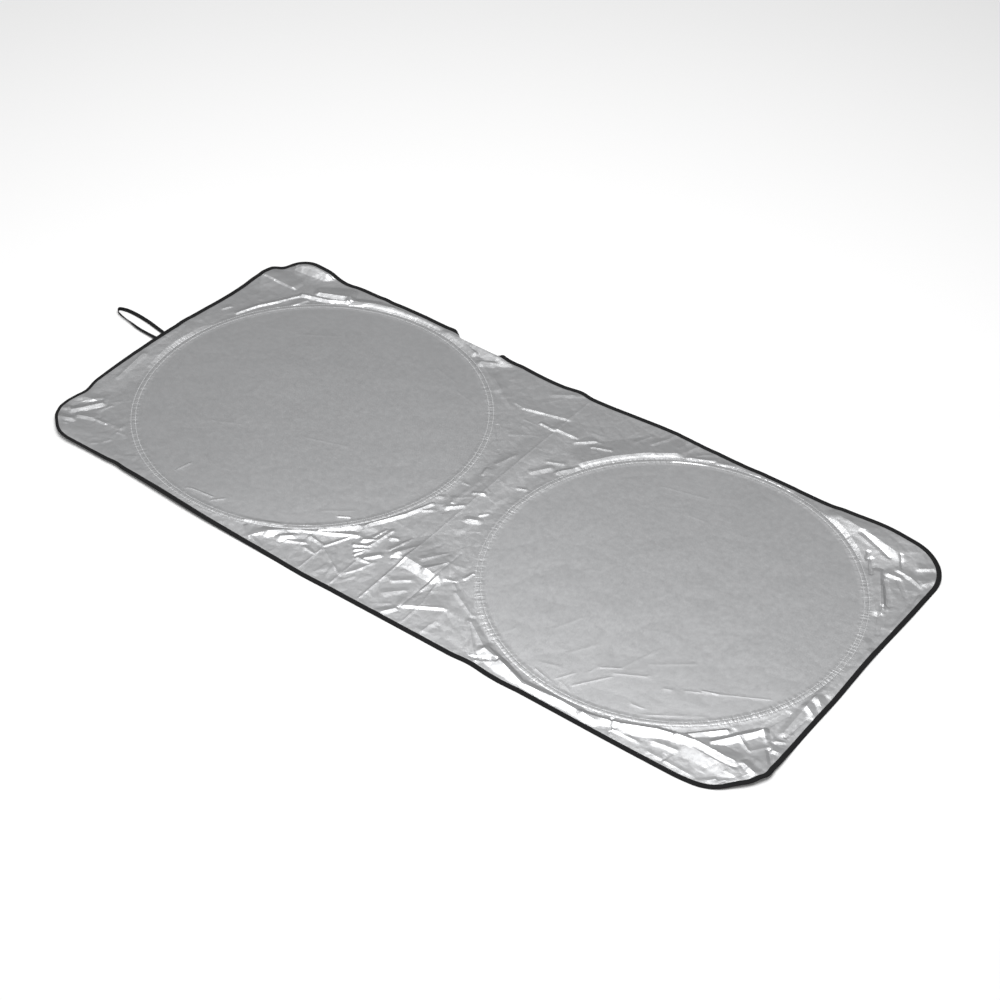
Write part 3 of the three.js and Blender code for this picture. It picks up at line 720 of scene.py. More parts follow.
def new_object(name, points, faces, uvs=None):
    """A smooth object from millimetre points on the sheet, put in the row frame."""
    mesh = bpy.data.meshes.new(name)
    coords = np.asarray(points, float) * MM
    coords[:, :2] += sheet_middle()
    mesh.from_pydata(coords.tolist(), [], faces)
    if uvs is not None:
        mesh.uv_layers.new(name="UVMap").data.foreach_set("uv", np.asarray(uvs).ravel())
        face_outwards(mesh)
    mesh.polygons.foreach_set("use_smooth", [True] * len(mesh.polygons))
    obj = bpy.data.objects.new(name, mesh)
    bpy.context.scene.collection.objects.link(obj)
    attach(obj, "root")
    return obj


def face_outwards(mesh):
    work = bmesh.new()
    work.from_mesh(mesh)
    bmesh.ops.recalc_face_normals(work, faces=work.faces)
    work.to_mesh(mesh)
    work.free()


def sheet_middle():
    """The sheet's own middle in the row frame, whose origin is the middle of the whole outline."""
    sizes = bpy.context.scene.sunshade_sizes
    return (sizes.left_margin + sizes.strap_reach - sizes.right_margin) / 2, sizes.near_bulge / 2


def hex_points(x0, x1, y0, y1, spacing):
    rows = np.arange(y0, y1, spacing * math.sqrt(0.75))
    points = []
    for i, y in enumerate(rows):
        xs = np.arange(x0 + (i % 2) * spacing / 2, x1, spacing)
        points.append(np.column_stack([xs, np.full_like(xs, y)]))
    return np.concatenate(points)


def thin_out(points, keep_clear, gap):
    """Drops points that lie nearer than gap to any of keep_clear."""
    taken = {(int(x // gap), int(y // gap)) for x, y in keep_clear}
    keys = np.floor(points / gap).astype(int)
    free = [
        not any((kx + i, ky + j) in taken for i in (-1, 0, 1) for j in (-1, 0, 1))
        for kx, ky in keys
    ]
    return points[np.array(free)]


def crest_points(folds, spacing, offsets=(0,)):
    """Points along the crests and beside them, so that the mesh's edges run along them."""
    points = []
    for fold in folds:
        a, b = np.array(fold.start), np.array(fold.end)
        length = np.hypot(*(b - a))
        across = np.array([a[1] - b[1], b[0] - a[0]]) / length
        steps = max(2, round(length / spacing))
        for offset in offsets:
            points += [a + (b - a) * t + across * offset for t in np.linspace(0, 1, steps + 1)]
    return np.array(points)


def turned_under(cloth, points):
    """The far edge beside the left hoop is rolled under the sheet, tape and all."""
    x, y, z = np.moveaxis(points, -1, 0)
    left, right = ROLL_ENDS
    full = smooth((x - left) / ROLL_EASE[0]) * smooth((right - x) / ROLL_EASE[1])
    line = ROLL_LINE + ROLL_DEPTH * (1 - full)
    over = (y > line) & (x > left) & (x < right)
    px, line = x[over], line[over]
    base = cloth.height(px, line)
    past, above = y[over] - line, z[over] - base
    tape_room = 1.6
    radius = np.clip((base - tape_room) / 2, 0.4, ROLL_RADIUS)
    angle = np.minimum(past / radius, math.pi)
    points = points.copy()
    points[over] = np.column_stack([
        px,
        line + (radius + above) * np.sin(angle) - (past - angle * radius),
        base - radius + (radius + above) * np.cos(angle),
    ])
    return points


def depth_in(points, edge_line):
    """How far the points lie inside the bound edge."""
    index = edge_line.nearest(points[:, 0], points[:, 1])
    return ((edge_line.at[index] - points) * edge_line.normal[index]).sum(axis=1)


# Points round each ring beside a hoop, and the smallest gaps in the sheet's mesh: from a crest's points to
# the rings, from the loose grid to both, and from the taut grid to the taut creases
RING_POINTS = 700
CREST_GAP = 0.9
GRID_GAP = 0.95
TAUT_GAP = 2.5


def silver_panel(plan, cloth, edge_line, loose_spacing, disc_spacing):
    """The whole sheet as one fine mesh: taut discs, hoop sleeves, loose creased cloth and its edge."""
    rings = []
    for hx, hy in plan.hoops.values():
        for out in (-12, -9, -6, -4.6, -plan.seam, -2.4, -1.3, 0, 1.3, 2.4, plan.seam, 4.6):
            turn = full_turn(RING_POINTS)
            r = plan.radius + out
            rings.append(np.column_stack([hx + r * np.cos(turn), hy + r * np.sin(turn)]))
    rings = np.concatenate(rings)
    border = np.concatenate([edge_line.inward(d) for d in (plan.leg / 2, plan.leg)])
    crests = crest_points(cloth.fine + cloth.main, 2.0)
    past_seam = plan.outside(crests[:, 0], crests[:, 1]) > plan.seam + 1.5
    clear = past_seam & (depth_in(crests, edge_line) > plan.leg + 1.5)
    rolled = creases([(ROLL_ENDS[0] + 16, ROLL_LINE, ROLL_ENDS[1] - 10, ROLL_LINE, 0, 0, 0)])
    rolled = crest_points(rolled, 2.0, (0, 1.1, 2.3, 3.5, 4.8))
    crests = np.concatenate([rolled, thin_out(crests[clear], np.concatenate([rings, rolled]), CREST_GAP)])
    fixed = np.concatenate([rings, border])
    box = (-plan.ends[-1], plan.ends[1], -plan.half_width, plan.half_width)
    grid = hex_points(*box, loose_spacing)
    out = plan.outside(grid[:, 0], grid[:, 1])
    grid = grid[out > plan.seam + 2]
    grid = grid[depth_in(grid, edge_line) > plan.leg + 1]
    grid = thin_out(grid, np.concatenate([fixed, crests]), GRID_GAP)
    disc = hex_points(*box, disc_spacing)
    disc = disc[plan.outside(disc[:, 0], disc[:, 1]) < -15]
    taut = crest_points(cloth.taut, 2.5, (-6, -3, -1.5, 0, 1.5, 3, 6))
    taut = taut[plan.outside(taut[:, 0], taut[:, 1]) < -13]
    disc = thin_out(disc, taut, TAUT_GAP)
    points = np.concatenate([edge_line.at, fixed, crests, grid, disc, taut])
    outline = list(range(edge_line.count))
    made = delaunay_2d_cdt([Vector(p) for p in points], [], [outline], 1, 1e-4)
    flat = np.array([tuple(v) for v in made[0]])
    x, y = flat[:, 0], flat[:, 1]
    z = cloth.height(x, y)
    index = edge_line.nearest(x, y)
    hold = smooth((depth_in(flat, edge_line) - plan.leg) / 9)
    hold[plan.outside(x, y) < plan.seam] = 1
    z = edge_line.z[index] * (1 - hold) + z * hold + plan.fabric
    faces = [f if triangle_up(flat, f) else f[::-1] for f in made[2]]
    return np.column_stack([flat, z]), faces


def mark_places(mesh, plan, x, y):
    """For the finish: each point's way and distance from the nearer hoop, and how loose the cloth is."""
    out = plan.outside(x, y)
    angle = plan.turn(x, y)
    place = np.column_stack([plan.radius * np.cos(angle), plan.radius * np.sin(angle), out]) * MM
    mesh.attributes.new("seam_place", "FLOAT_VECTOR", "POINT").data.foreach_set("vector", place.ravel())
    loose = smooth((out - plan.seam) / 8)
    mesh.attributes.new("loose_cloth", "FLOAT", "POINT").data.foreach_set("value", loose)


def triangle_up(flat, face):
    (ax, ay), (bx, by), (cx, cy) = (flat[i] for i in face[:3])
    return (bx - ax) * (cy - ay) - (by - ay) * (cx - ax) > 0


def steps_along(points):
    """Distances in metres from the first point to each next one, and back to the first."""
    looped = np.vstack([points, points[:1]])
    return np.concatenate([[0], np.cumsum(np.linalg.norm(np.diff(looped, axis=0), axis=1))]) * MM


def swept(sections, closed):
    """Points, faces and corner UVs of a tube through equal sections, closed to a ring or capped."""
    sections = np.asarray(sections)
    count, size = sections.shape[:2]
    along = steps_along(sections.mean(axis=1))
    around = steps_along(sections[0])
    faces, uvs = [], []
    for i in range(count if closed else count - 1):
        a, b = i * size, (i + 1) % count * size
        for k in range(size):
            n = (k + 1) % size
            faces.append((a + k, a + n, b + n, b + k))
            uvs += [(along[i], around[k]), (along[i], around[k + 1])]
            uvs += [(along[i + 1], around[k + 1]), (along[i + 1], around[k])]
    if not closed:
        last = (count - 1) * size
        faces += [tuple(range(size - 1, -1, -1)), tuple(range(last, last + size))]
        uvs += [(0, 0)] * 2 * size
    return sections.reshape(-1, 3), faces, uvs


# Each stitch is a short thread that rises out of the cloth and goes back in: share of its length from its
# middle, share of its thickness, and rise
STITCH_STATIONS = [(-0.5, 0.5, -0.5), (-0.3, 0.95, 0.25), (0, 1, 0.5), (0.3, 0.95, 0.25), (0.5, 0.5, -0.5)]
STITCH_SIDES = 5


def stitch_row(line, pitch, length, radius):
    """Points, faces and UVs of the stitches along a closed line of points."""
    looped = np.vstack([line, line[:1]])
    arc = steps_along(line) / MM
    count = round(arc[-1] / pitch)
    middles = np.arange(count) * arc[-1] / count
    turns = full_turn(STITCH_SIDES)
    rows = []
    for share, thick, rise in STITCH_STATIONS:
        spot = (middles + share * length) % arc[-1]
        at = np.column_stack([np.interp(spot, arc, looped[:, i]) for i in range(3)])
        ahead = (spot + 0.5) % arc[-1]
        way = np.column_stack([np.interp(ahead, arc, looped[:, i]) for i in range(2)]) - at[:, :2]
        way /= np.linalg.norm(way, axis=1)[:, None]
        across = np.column_stack([way[:, 1], -way[:, 0], np.zeros(count)])
        ring = [
            at + radius * thick * (math.cos(a) * across + math.sin(a) * UP) + radius * rise * UP
            for a in turns
        ]
        rows.append(np.stack(ring, axis=1))
    points = np.stack(rows, axis=1).reshape(-1, 3)
    size = len(STITCH_STATIONS) * STITCH_SIDES
    pattern = []
    for k in range(len(STITCH_STATIONS) - 1):
        for i in range(STITCH_SIDES):
            n = (i + 1) % STITCH_SIDES
            a, b = k * STITCH_SIDES, (k + 1) * STITCH_SIDES
            pattern.append((a + i, a + n, b + n, b + i))
    pattern.append(tuple(range(STITCH_SIDES)))
    pattern.append(tuple(range(size - STITCH_SIDES, size)))
    faces = [tuple(first + i for i in face) for first in range(0, count * size, size) for face in pattern]
    uvs = [(points[i][0] * MM, points[i][1] * MM) for face in faces for i in face]
    return points, faces, uvs


def joined(parts):
    """Several sets of points, faces and UVs as one."""
    points, faces, uvs = [], [], []
    for some_points, some_faces, some_uvs in parts:
        first = sum(len(p) for p in points)
        points.append(some_points)
        faces += [tuple(first + i for i in face) for face in some_faces]
        uvs += some_uvs
    return np.concatenate(points), faces, uvs


# The strap's route: share of its reach, place across the sheet's end, height of its middle above the floor
# and roll in degrees. It banks up to turn round at its tip.
STRAP_TUCK = 9
STRAP_STEPS = 200
UP = np.array([0.0, 0.0, 1.0])


def strap_route(reach):
    return [
        (-STRAP_TUCK / reach, 2, 0, 0),
        (0, 2, 0, 0),
        (0.14, 5, -0.6, 6),
        (0.43, 10.2, 2.9, 20),
        (0.74, 12.4, 2.9, 45),
        (0.9, 10.6, 3.2, 66),
        (0.993, 6, 3.3, 88),
        (0.95, -1, 3.3, 86),
        (0.83, -5, 3.2, 70),
        (0.62, -8.6, 2.9, 43),
        (0.43, -12.8, 2.7, 20),
        (0.14, -15.2, -0.6, 6),
        (0, -15.7, 0, 0),
        (-STRAP_TUCK / reach, -15.7, 0, 0),
    ]


def on_curve(points, t):
    """A place on the centripetal Catmull-Rom curve through the points, t from 0 to 1."""
    spot = t * (len(points) - 1)
    low = min(len(points) - 2, int(spot))
    part = spot - low
    b, c = points[low], points[low + 1]
    a = points[low - 1] if low else 2 * b - c
    d = points[low + 2] if low + 2 < len(points) else 2 * c - b
    ab, bc, cd = (np.linalg.norm(q - p) ** 0.5 for p, q in ((a, b), (b, c), (c, d)))
    leave = ((b - a) / ab - (c - a) / (ab + bc) + (c - b) / bc) * bc
    arrive = ((c - b) / bc - (d - b) / (bc + cd) + (d - c) / cd) * bc
    square = 3 * (c - b) - 2 * leave - arrive
    cube = 2 * (b - c) + leave + arrive
    return b + leave * part + square * part ** 2 + cube * part ** 3


def strap_band(plan, cloth, width, thickness):
    """The flat elastic loop, ribbed along its length."""
    route = strap_route(plan.strap_reach)
    end_x = -plan.ends[-1]
    points = []
    for share, y, z, roll in route:
        if share < 0.2:
            under = float(cloth.loose(np.array([end_x + plan.leg]), np.array([float(y)]))[0])
            z += under - 2 * CLEARANCE - plan.tape - thickness / 2
        points.append(np.array([end_x - share * plan.strap_reach, y, z]))
    sections = []
    for i in range(STRAP_STEPS + 1):
        t = i / STRAP_STEPS
        spot = t * (len(route) - 1)
        low = min(len(route) - 2, int(spot))
        roll = math.radians(route[low][3] + (route[low + 1][3] - route[low][3]) * (spot - low))
        at = on_curve(points, t)
        way = on_curve(points, min(1, t + 1e-3)) - on_curve(points, max(0, t - 1e-3))
        level = np.array([way[1], -way[0], 0])
        across = level / np.linalg.norm(level) * math.cos(roll) + UP * math.sin(roll)
        face = np.cross(across, way)
        face /= np.linalg.norm(face)
        sections.append([at + across * u * width / 2 + face * v * thickness / 2 for u, v in STRAP_PROFILE])
    return swept(sections, False)


def ribbed_profile(ribs=5, steps=20, rib_height=0.16):
    """Half widths and half thicknesses of the elastic's section, with its ribs."""
    over = []
    for i in range(steps + 1):
        u = -0.96 + 1.92 * i / steps
        over.append((u, 1 - rib_height * (0.5 + 0.5 * math.cos(2 * math.pi * ribs * (u + 0.96) / 1.92))))
    return [(-1, 0), *over, (1, 0), *[(u, -v) for u, v in reversed(over)]]


STRAP_PROFILE = ribbed_profile()


# Finishes

def shader_tree(name):
    material = bpy.data.materials.new(name)
    material.use_nodes = True
    tree = material.node_tree
    tree.nodes.clear()
    output = tree.nodes.new("ShaderNodeOutputMaterial")
    surface = tree.nodes.new("ShaderNodeBsdfPrincipled")
    tree.links.new(surface.outputs["BSDF"], output.inputs["Surface"])
    return material, tree, surface


def node_group(name, inputs, outputs):
    """An empty shader node group; inputs are (name, default), outputs names, all numbers but Place."""
    group = bpy.data.node_groups.new(name, "ShaderNodeTree")
    group.interface.new_socket("Place", in_out="INPUT", socket_type="NodeSocketVector")
    for label, default in inputs:
        socket = group.interface.new_socket(label, in_out="INPUT", socket_type="NodeSocketFloat")
        socket.default_value = default
    for label in outputs:
        group.interface.new_socket(label, in_out="OUTPUT", socket_type="NodeSocketFloat")
    return group, group.nodes.new("NodeGroupInput"), group.nodes.new("NodeGroupOutput")


def maths(tree, operation, *values):
    """A Math node fed by sockets or numbers; returns its output."""
    node = tree.nodes.new("ShaderNodeMath")
    node.operation = operation
    for socket, value in zip(node.inputs, values):
        if isinstance(value, (int, float)):
            socket.default_value = value
        else:
            tree.links.new(value, socket)
    return node.outputs[0]


def noise(tree, place, detail):
    """A Noise Texture node at a place; its Scale is set or linked afterwards."""
    node = tree.nodes.new("ShaderNodeTexNoise")
    node.inputs["Detail"].default_value = detail
    tree.links.new(place, node.inputs["Vector"])
    return node


def woven_threads():
    """Plain weave, thread over thread; Size is one thread in metres. Its second output is painted shade in
    the gaps where the threads part.
    """
    if "woven_threads" in bpy.data.node_groups:
        return bpy.data.node_groups["woven_threads"]
    group, given, result = node_group("woven_threads", [("Size", 0.0004)], ["Height", "GapShade"])
    split = group.nodes.new("ShaderNodeSeparateXYZ")
    group.links.new(given.outputs["Place"], split.inputs["Vector"])
    waves = []
    for axis in "XY":
        turns = maths(group, "DIVIDE", split.outputs[axis], given.outputs["Size"])
        waves.append(maths(group, "SINE", maths(group, "MULTIPLY", turns, math.pi)))
    crossing = maths(group, "MULTIPLY", *waves)
    height = maths(group, "MULTIPLY_ADD", crossing, 0.5, 0.5)
    # Painted shade: highest where the threads part, used to darken the tape's colour in the weave's gaps
    gap_shade = maths(group, "SUBTRACT", 1.0, maths(group, "ABSOLUTE", crossing))
    group.links.new(height, result.inputs["Height"])
    group.links.new(maths(group, "POWER", gap_shade, 3.0), result.inputs["GapShade"])
    return group


def worn_tone():
    """Slow drift of tone, and the fine scuffs of handling; Scale in patches a metre."""
    if "worn_tone" in bpy.data.node_groups:
        return bpy.data.node_groups["worn_tone"]
    group, given, result = node_group("worn_tone", [("Scale", 8.0), ("Amount", 0.05)], ["Tone", "Scuffs"])
    drift = noise(group, given.outputs["Place"], 3.0)
    fine = noise(group, given.outputs["Place"], 8.0)
    group.links.new(given.outputs["Scale"], drift.inputs["Scale"])
    group.links.new(maths(group, "MULTIPLY", given.outputs["Scale"], 16.0), fine.inputs["Scale"])
    around = maths(group, "MULTIPLY_ADD", drift.outputs["Fac"], 2.0, -1.0)
    tone = maths(group, "MULTIPLY_ADD", around, given.outputs["Amount"], 1.0)
    group.links.new(tone, result.inputs["Tone"])
    group.links.new(fine.outputs["Fac"], result.inputs["Scuffs"])
    return group


def map_range(tree, value, low, high, start, end):
    node = tree.nodes.new("ShaderNodeMapRange")
    node.interpolation_type = "SMOOTHSTEP"
    for label, number in zip(("From Min", "From Max", "To Min", "To Max"), (low, high, start, end)):
        node.inputs[label].default_value = number
    tree.links.new(value, node.inputs["Value"])
    return node.outputs["Result"]


def cell_facets(tree, place, scale, shift):
    """Flat-sided tents over irregular cells, in millimetres when divided by the cell count a metre."""
    bend = noise(tree, place, 1.0)
    bend.inputs["Scale"].default_value = scale * 0.7
    moved = tree.nodes.new("ShaderNodeVectorMath")
    moved.operation = "MULTIPLY_ADD"
    moved.inputs[1].default_value = (shift, shift, shift)
    tree.links.new(bend.outputs["Color"], moved.inputs[0])
    tree.links.new(place, moved.inputs[2])
    cells = tree.nodes.new("ShaderNodeTexVoronoi")
    cells.feature = "DISTANCE_TO_EDGE"
    cells.inputs["Scale"].default_value = scale
    tree.links.new(moved.outputs["Vector"], cells.inputs["Vector"])
    return cells.outputs["Distance"]


def crinkles():
    """Height in millimetres of the small facets of handled foil, strong where the cloth is loose."""
    if "crinkles" in bpy.data.node_groups:
        return bpy.data.node_groups["crinkles"]
    group, given, result = node_group("crinkles", [("Loose", 0.0)], ["Height"])
    place, loose = given.outputs["Place"], given.outputs["Loose"]
    total = maths(group, "MULTIPLY", cell_facets(group, place, 15, 0.02), 0.55)
    for scale, height in ((38, 0.6), (90, 0.16)):
        facets = maths(group, "MULTIPLY", cell_facets(group, place, scale, 0.3 / scale), height)
        total = maths(group, "MULTIPLY_ADD", facets, loose, total)
    group.links.new(total, result.inputs["Height"])
    return group


def gathers():
    """Height in millimetres of the fine puckers across the seams; Place is the direction and distance."""
    if "gathers" in bpy.data.node_groups:
        return bpy.data.node_groups["gathers"]
    group, given, result = node_group("gathers", [("Scale", 260.0)], ["Height"])
    split = group.nodes.new("ShaderNodeSeparateXYZ")
    group.links.new(given.outputs["Place"], split.inputs["Vector"])
    joined_up = group.nodes.new("ShaderNodeCombineXYZ")
    for axis in "XY":
        group.links.new(split.outputs[axis], joined_up.inputs[axis])
    group.links.new(maths(group, "MULTIPLY", split.outputs["Z"], 0.22), joined_up.inputs["Z"])
    waves = noise(group, joined_up.outputs["Vector"], 2.0)
    group.links.new(given.outputs["Scale"], waves.inputs["Scale"])
    away = maths(group, "ABSOLUTE", split.outputs["Z"])
    near = map_range(group, away, 0.003, 0.011, 1.0, 0.0)
    group.links.new(maths(group, "MULTIPLY", waves.outputs["Fac"], near), result.inputs["Height"])
    return group


def attribute_output(tree, name, output):
    node = tree.nodes.new("ShaderNodeAttribute")
    node.attribute_name = name
    return node.outputs[output]


def placed_group(tree, group, place, **values):
    node = tree.nodes.new("ShaderNodeGroup")
    node.node_tree = group
    tree.links.new(place, node.inputs["Place"])
    for label, value in values.items():
        node.inputs[label].default_value = value
    return node


def colour_mix(tree):
    """A Mix node for colours: the node, its two colour inputs and its colour output."""
    node = tree.nodes.new("ShaderNodeMix")
    node.data_type = "RGBA"
    first, second = (i for i in node.inputs if i.type == "RGBA")
    return node, first, second, next(o for o in node.outputs if o.type == "RGBA")


def toned(tree, colour, tone):
    """A colour made lighter or darker by a number that changes over the surface."""
    node, first, second, result = colour_mix(tree)
    node.blend_type = "MULTIPLY"
    node.inputs["Factor"].default_value = 1.0
    first.default_value = (*colour, 1)
    tree.links.new(tone, second)
    return result


def bumped(tree, surface, height, strength, distance):
    """Adds a relief over those that the surface has."""
    bump = tree.nodes.new("ShaderNodeBump")
    for link in surface.inputs["Normal"].links:
        tree.links.new(link.from_socket, bump.inputs["Normal"])
    bump.inputs["Strength"].default_value = strength
    bump.inputs["Distance"].default_value = distance
    tree.links.new(height, bump.inputs["Height"])
    tree.links.new(bump.outputs["Normal"], surface.inputs["Normal"])


def silver_finish(colours):
    """Woven cloth with a satin metal coat above and its bare grey side below."""
    material, tree, surface = shader_tree("silver_fabric")
    place = tree.nodes.new("ShaderNodeTexCoord").outputs["Object"]
    worn = placed_group(tree, worn_tone(), place, Scale=7.0, Amount=0.05)
    threads = placed_group(tree, woven_threads(), place, Size=0.0005)
    below = tree.nodes.new("ShaderNodeNewGeometry").outputs["Backfacing"]
    sides, above_colour, below_colour, result = colour_mix(tree)
    tree.links.new(below, sides.inputs["Factor"])
    tree.links.new(toned(tree, colours.silver, worn.outputs["Tone"]), above_colour)
    tree.links.new(toned(tree, colours.backing, worn.outputs["Tone"]), below_colour)
    tree.links.new(result, surface.inputs["Base Color"])
    tree.links.new(maths(tree, "MULTIPLY_ADD", below, -0.88, 0.88), surface.inputs["Metallic"])
    coat = maths(tree, "MULTIPLY_ADD", worn.outputs["Scuffs"], 0.12, 0.29)
    tree.links.new(maths(tree, "MULTIPLY_ADD", below, 0.4, coat), surface.inputs["Roughness"])
    foil = placed_group(tree, crinkles(), place)
    tree.links.new(attribute_output(tree, "loose_cloth", "Fac"), foil.inputs["Loose"])
    bumped(tree, surface, foil.outputs["Height"], 1.0, 0.001)
    sewn = placed_group(tree, gathers(), attribute_output(tree, "seam_place", "Vector"))
    bumped(tree, surface, sewn.outputs["Height"], 1.0, 0.0006)
    relief = maths(tree, "MULTIPLY_ADD", threads.outputs["Height"], 0.25, worn.outputs["Scuffs"])
    bumped(tree, surface, relief, 0.25, 0.0004)
    return material


def tape_finish(name, colour, thread, place_from="UV", shine=0.2):
    """Matt woven tape or elastic."""
    material, tree, surface = shader_tree(name)
    place = tree.nodes.new("ShaderNodeTexCoord").outputs[place_from]
    threads = placed_group(tree, woven_threads(), place, Size=thread)
    worn = placed_group(tree, worn_tone(), place, Scale=14.0, Amount=0.18)
    # The tape's colour is darkened in the gaps between threads, which is painted shade, and drifts at
    # random in tone
    light = maths(tree, "MULTIPLY_ADD", threads.outputs["GapShade"], -0.6, worn.outputs["Tone"])
    tree.links.new(toned(tree, colour, light), surface.inputs["Base Color"])
    rough = maths(tree, "MULTIPLY_ADD", worn.outputs["Scuffs"], 0.2, 0.72)
    tree.links.new(rough, surface.inputs["Roughness"])
    surface.inputs["Specular IOR Level"].default_value = shine
    bumped(tree, surface, threads.outputs["Height"], 0.6, thread * 0.4)
    return material


def thread_finish(name, colour):
    """Twisted sewing thread."""
    material, tree, surface = shader_tree(name)
    place = tree.nodes.new("ShaderNodeTexCoord").outputs["UV"]
    worn = placed_group(tree, worn_tone(), place, Scale=20.0, Amount=0.12)
    tree.links.new(toned(tree, colour, worn.outputs["Tone"]), surface.inputs["Base Color"])
    surface.inputs["Roughness"].default_value = 0.6
    threads = placed_group(tree, woven_threads(), place, Size=0.0004)
    bumped(tree, surface, threads.outputs["Height"], 0.4, 0.0001)
    return material


def steel_finish(name, colour, roughness):
    """Rolled steel with a faint drift of tone."""
    material, tree, surface = shader_tree(name)
    place = tree.nodes.new("ShaderNodeTexCoord").outputs["Object"]
    worn = placed_group(tree, worn_tone(), place, Scale=18.0, Amount=0.15)
    tree.links.new(toned(tree, colour, worn.outputs["Tone"]), surface.inputs["Base Color"])
    surface.inputs["Metallic"].default_value = 1.0
    rough = maths(tree, "MULTIPLY_ADD", worn.outputs["Scuffs"], 0.2, roughness)
    tree.links.new(rough, surface.inputs["Roughness"])
    return material


def plain_finish(name, colour, roughness, metallic=0.0):
    material, tree, surface = shader_tree(name)
    surface.inputs["Base Color"].default_value = (*colour, 1)
    surface.inputs["Roughness"].default_value = roughness
    surface.inputs["Metallic"].default_value = metallic
    return material


def dress(obj, material):
    obj.data.materials.clear()
    obj.data.materials.append(material)


# Brightness of the surround over the height of the direction, from one height to another
SURROUND_RAMPS = [(0.0, 0.45, 0.35, 0.95), (0.66, 1.0, 0.0, 2.0)]


def studio_surround(strength):
    """Grey all round, dim at the floor's edge, brighter overhead; seen directly, as pale as the floor."""
    world = bpy.data.worlds.new("studio_surround")
    world.use_nodes = True
    tree = world.node_tree
    tree.nodes.clear()
    output = tree.nodes.new("ShaderNodeOutputWorld")
    direction = tree.nodes.new("ShaderNodeTexCoord")
    split = tree.nodes.new("ShaderNodeSeparateXYZ")
    levels = []
    for low, high, dim, bright in SURROUND_RAMPS:
        levels.append(map_range(tree, split.outputs["Z"], low, high, dim, bright))
    level = maths(tree, "MULTIPLY", maths(tree, "ADD", *levels), strength)
    grey = tree.nodes.new("ShaderNodeBackground")
    backdrop = tree.nodes.new("ShaderNodeBackground")
    backdrop.inputs["Strength"].default_value = 1.0
    seen = tree.nodes.new("ShaderNodeLightPath")
    choose = tree.nodes.new("ShaderNodeMixShader")
    tree.links.new(direction.outputs["Generated"], split.inputs["Vector"])
    tree.links.new(level, grey.inputs["Strength"])
    tree.links.new(seen.outputs["Is Camera Ray"], choose.inputs["Fac"])
    tree.links.new(grey.outputs["Background"], choose.inputs[1])
    tree.links.new(backdrop.outputs["Background"], choose.inputs[2])
    tree.links.new(choose.outputs["Shader"], output.inputs["Surface"])
    return world


def softbox_light(name, place, size, power):
    """A rectangular light that faces down and isn't seen itself."""
    light = bpy.data.lights.new(name, "AREA")
    light.shape = "RECTANGLE"
    light.size, light.size_y = size
    light.energy = power
    softbox = bpy.data.objects.new(name, light)
    softbox.location = place
    softbox.visible_camera = False
    return softbox


# Operators

def plan_and_cloth(scene):
    plan = Plan(scene.sunshade_sizes, scene.sunshade_lay)
    cloth = Cloth(plan, scene.sunshade_lay)
    return plan, cloth, Edge(plan, cloth)


class SUNSHADE_OT_panel(Operator):
    """Make the silver sheet with its sleeves, folds and creases"""

    bl_idname = "sunshade.panel"
    bl_label = "Silver Sheet"

    def execute(self, context):
        scene = context.scene
        lay = scene.sunshade_lay
        plan, cloth, edge_line = plan_and_cloth(scene)
        points, faces = silver_panel(plan, cloth, edge_line, lay.loose_spacing / MM, lay.disc_spacing / MM)
        panel = new_object("silver_sheet", turned_under(cloth, points), faces)
        mark_places(panel.data, plan, points[:, 0], points[:, 1])
        panel.data.set_sharp_from_angle(angle=math.radians(6))
        dress(panel, silver_finish(scene.sunshade_finish))
        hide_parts("shade_panel")
        return {"FINISHED"}


class SUNSHADE_OT_binding(Operator):
    """Make the black tape that is folded round the edge"""

    bl_idname = "sunshade.binding"
    bl_label = "Edge Binding"

    def execute(self, context):
        scene = context.scene
        plan, cloth, edge_line = plan_and_cloth(scene)
        tape, gap, fabric = plan.tape, CLEARANCE, plan.fabric
        low, high = -gap - tape, fabric + gap + tape
        mid = (low + high) / 2
        half = (high - low) / 2
        width = plan.binding_width
        swell = 0.12
        profile = [(width, high - tape), (width, high)]
        profile += [(width * 0.7, high + swell), (width * 0.35, high + swell)]
        for k in range(7):
            a = math.pi / 2 + math.pi * k / 6
            profile.append((0.2 + 0.8 * math.cos(a), mid + half * 1.06 * math.sin(a)))
        profile += [(width * 0.35, low - 0.05), (width, low), (width, low + tape)]
        profile += [(0.6, low + tape), (0.6, high - tape)]
        sections = []
        for inward, up in profile:
            at = edge_line.inward(inward * edge_line.tape_share())
            sections.append(np.column_stack([at, edge_line.z + up]))
        sections = turned_under(cloth, np.transpose(np.array(sections), (1, 0, 2)))
        tape_obj = new_object("binding_tape", *swept(sections, True))
        dress(tape_obj, tape_finish("black_binding", scene.sunshade_finish.binding, 0.0006))
        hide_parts("edge_binding")
        return {"FINISHED"}


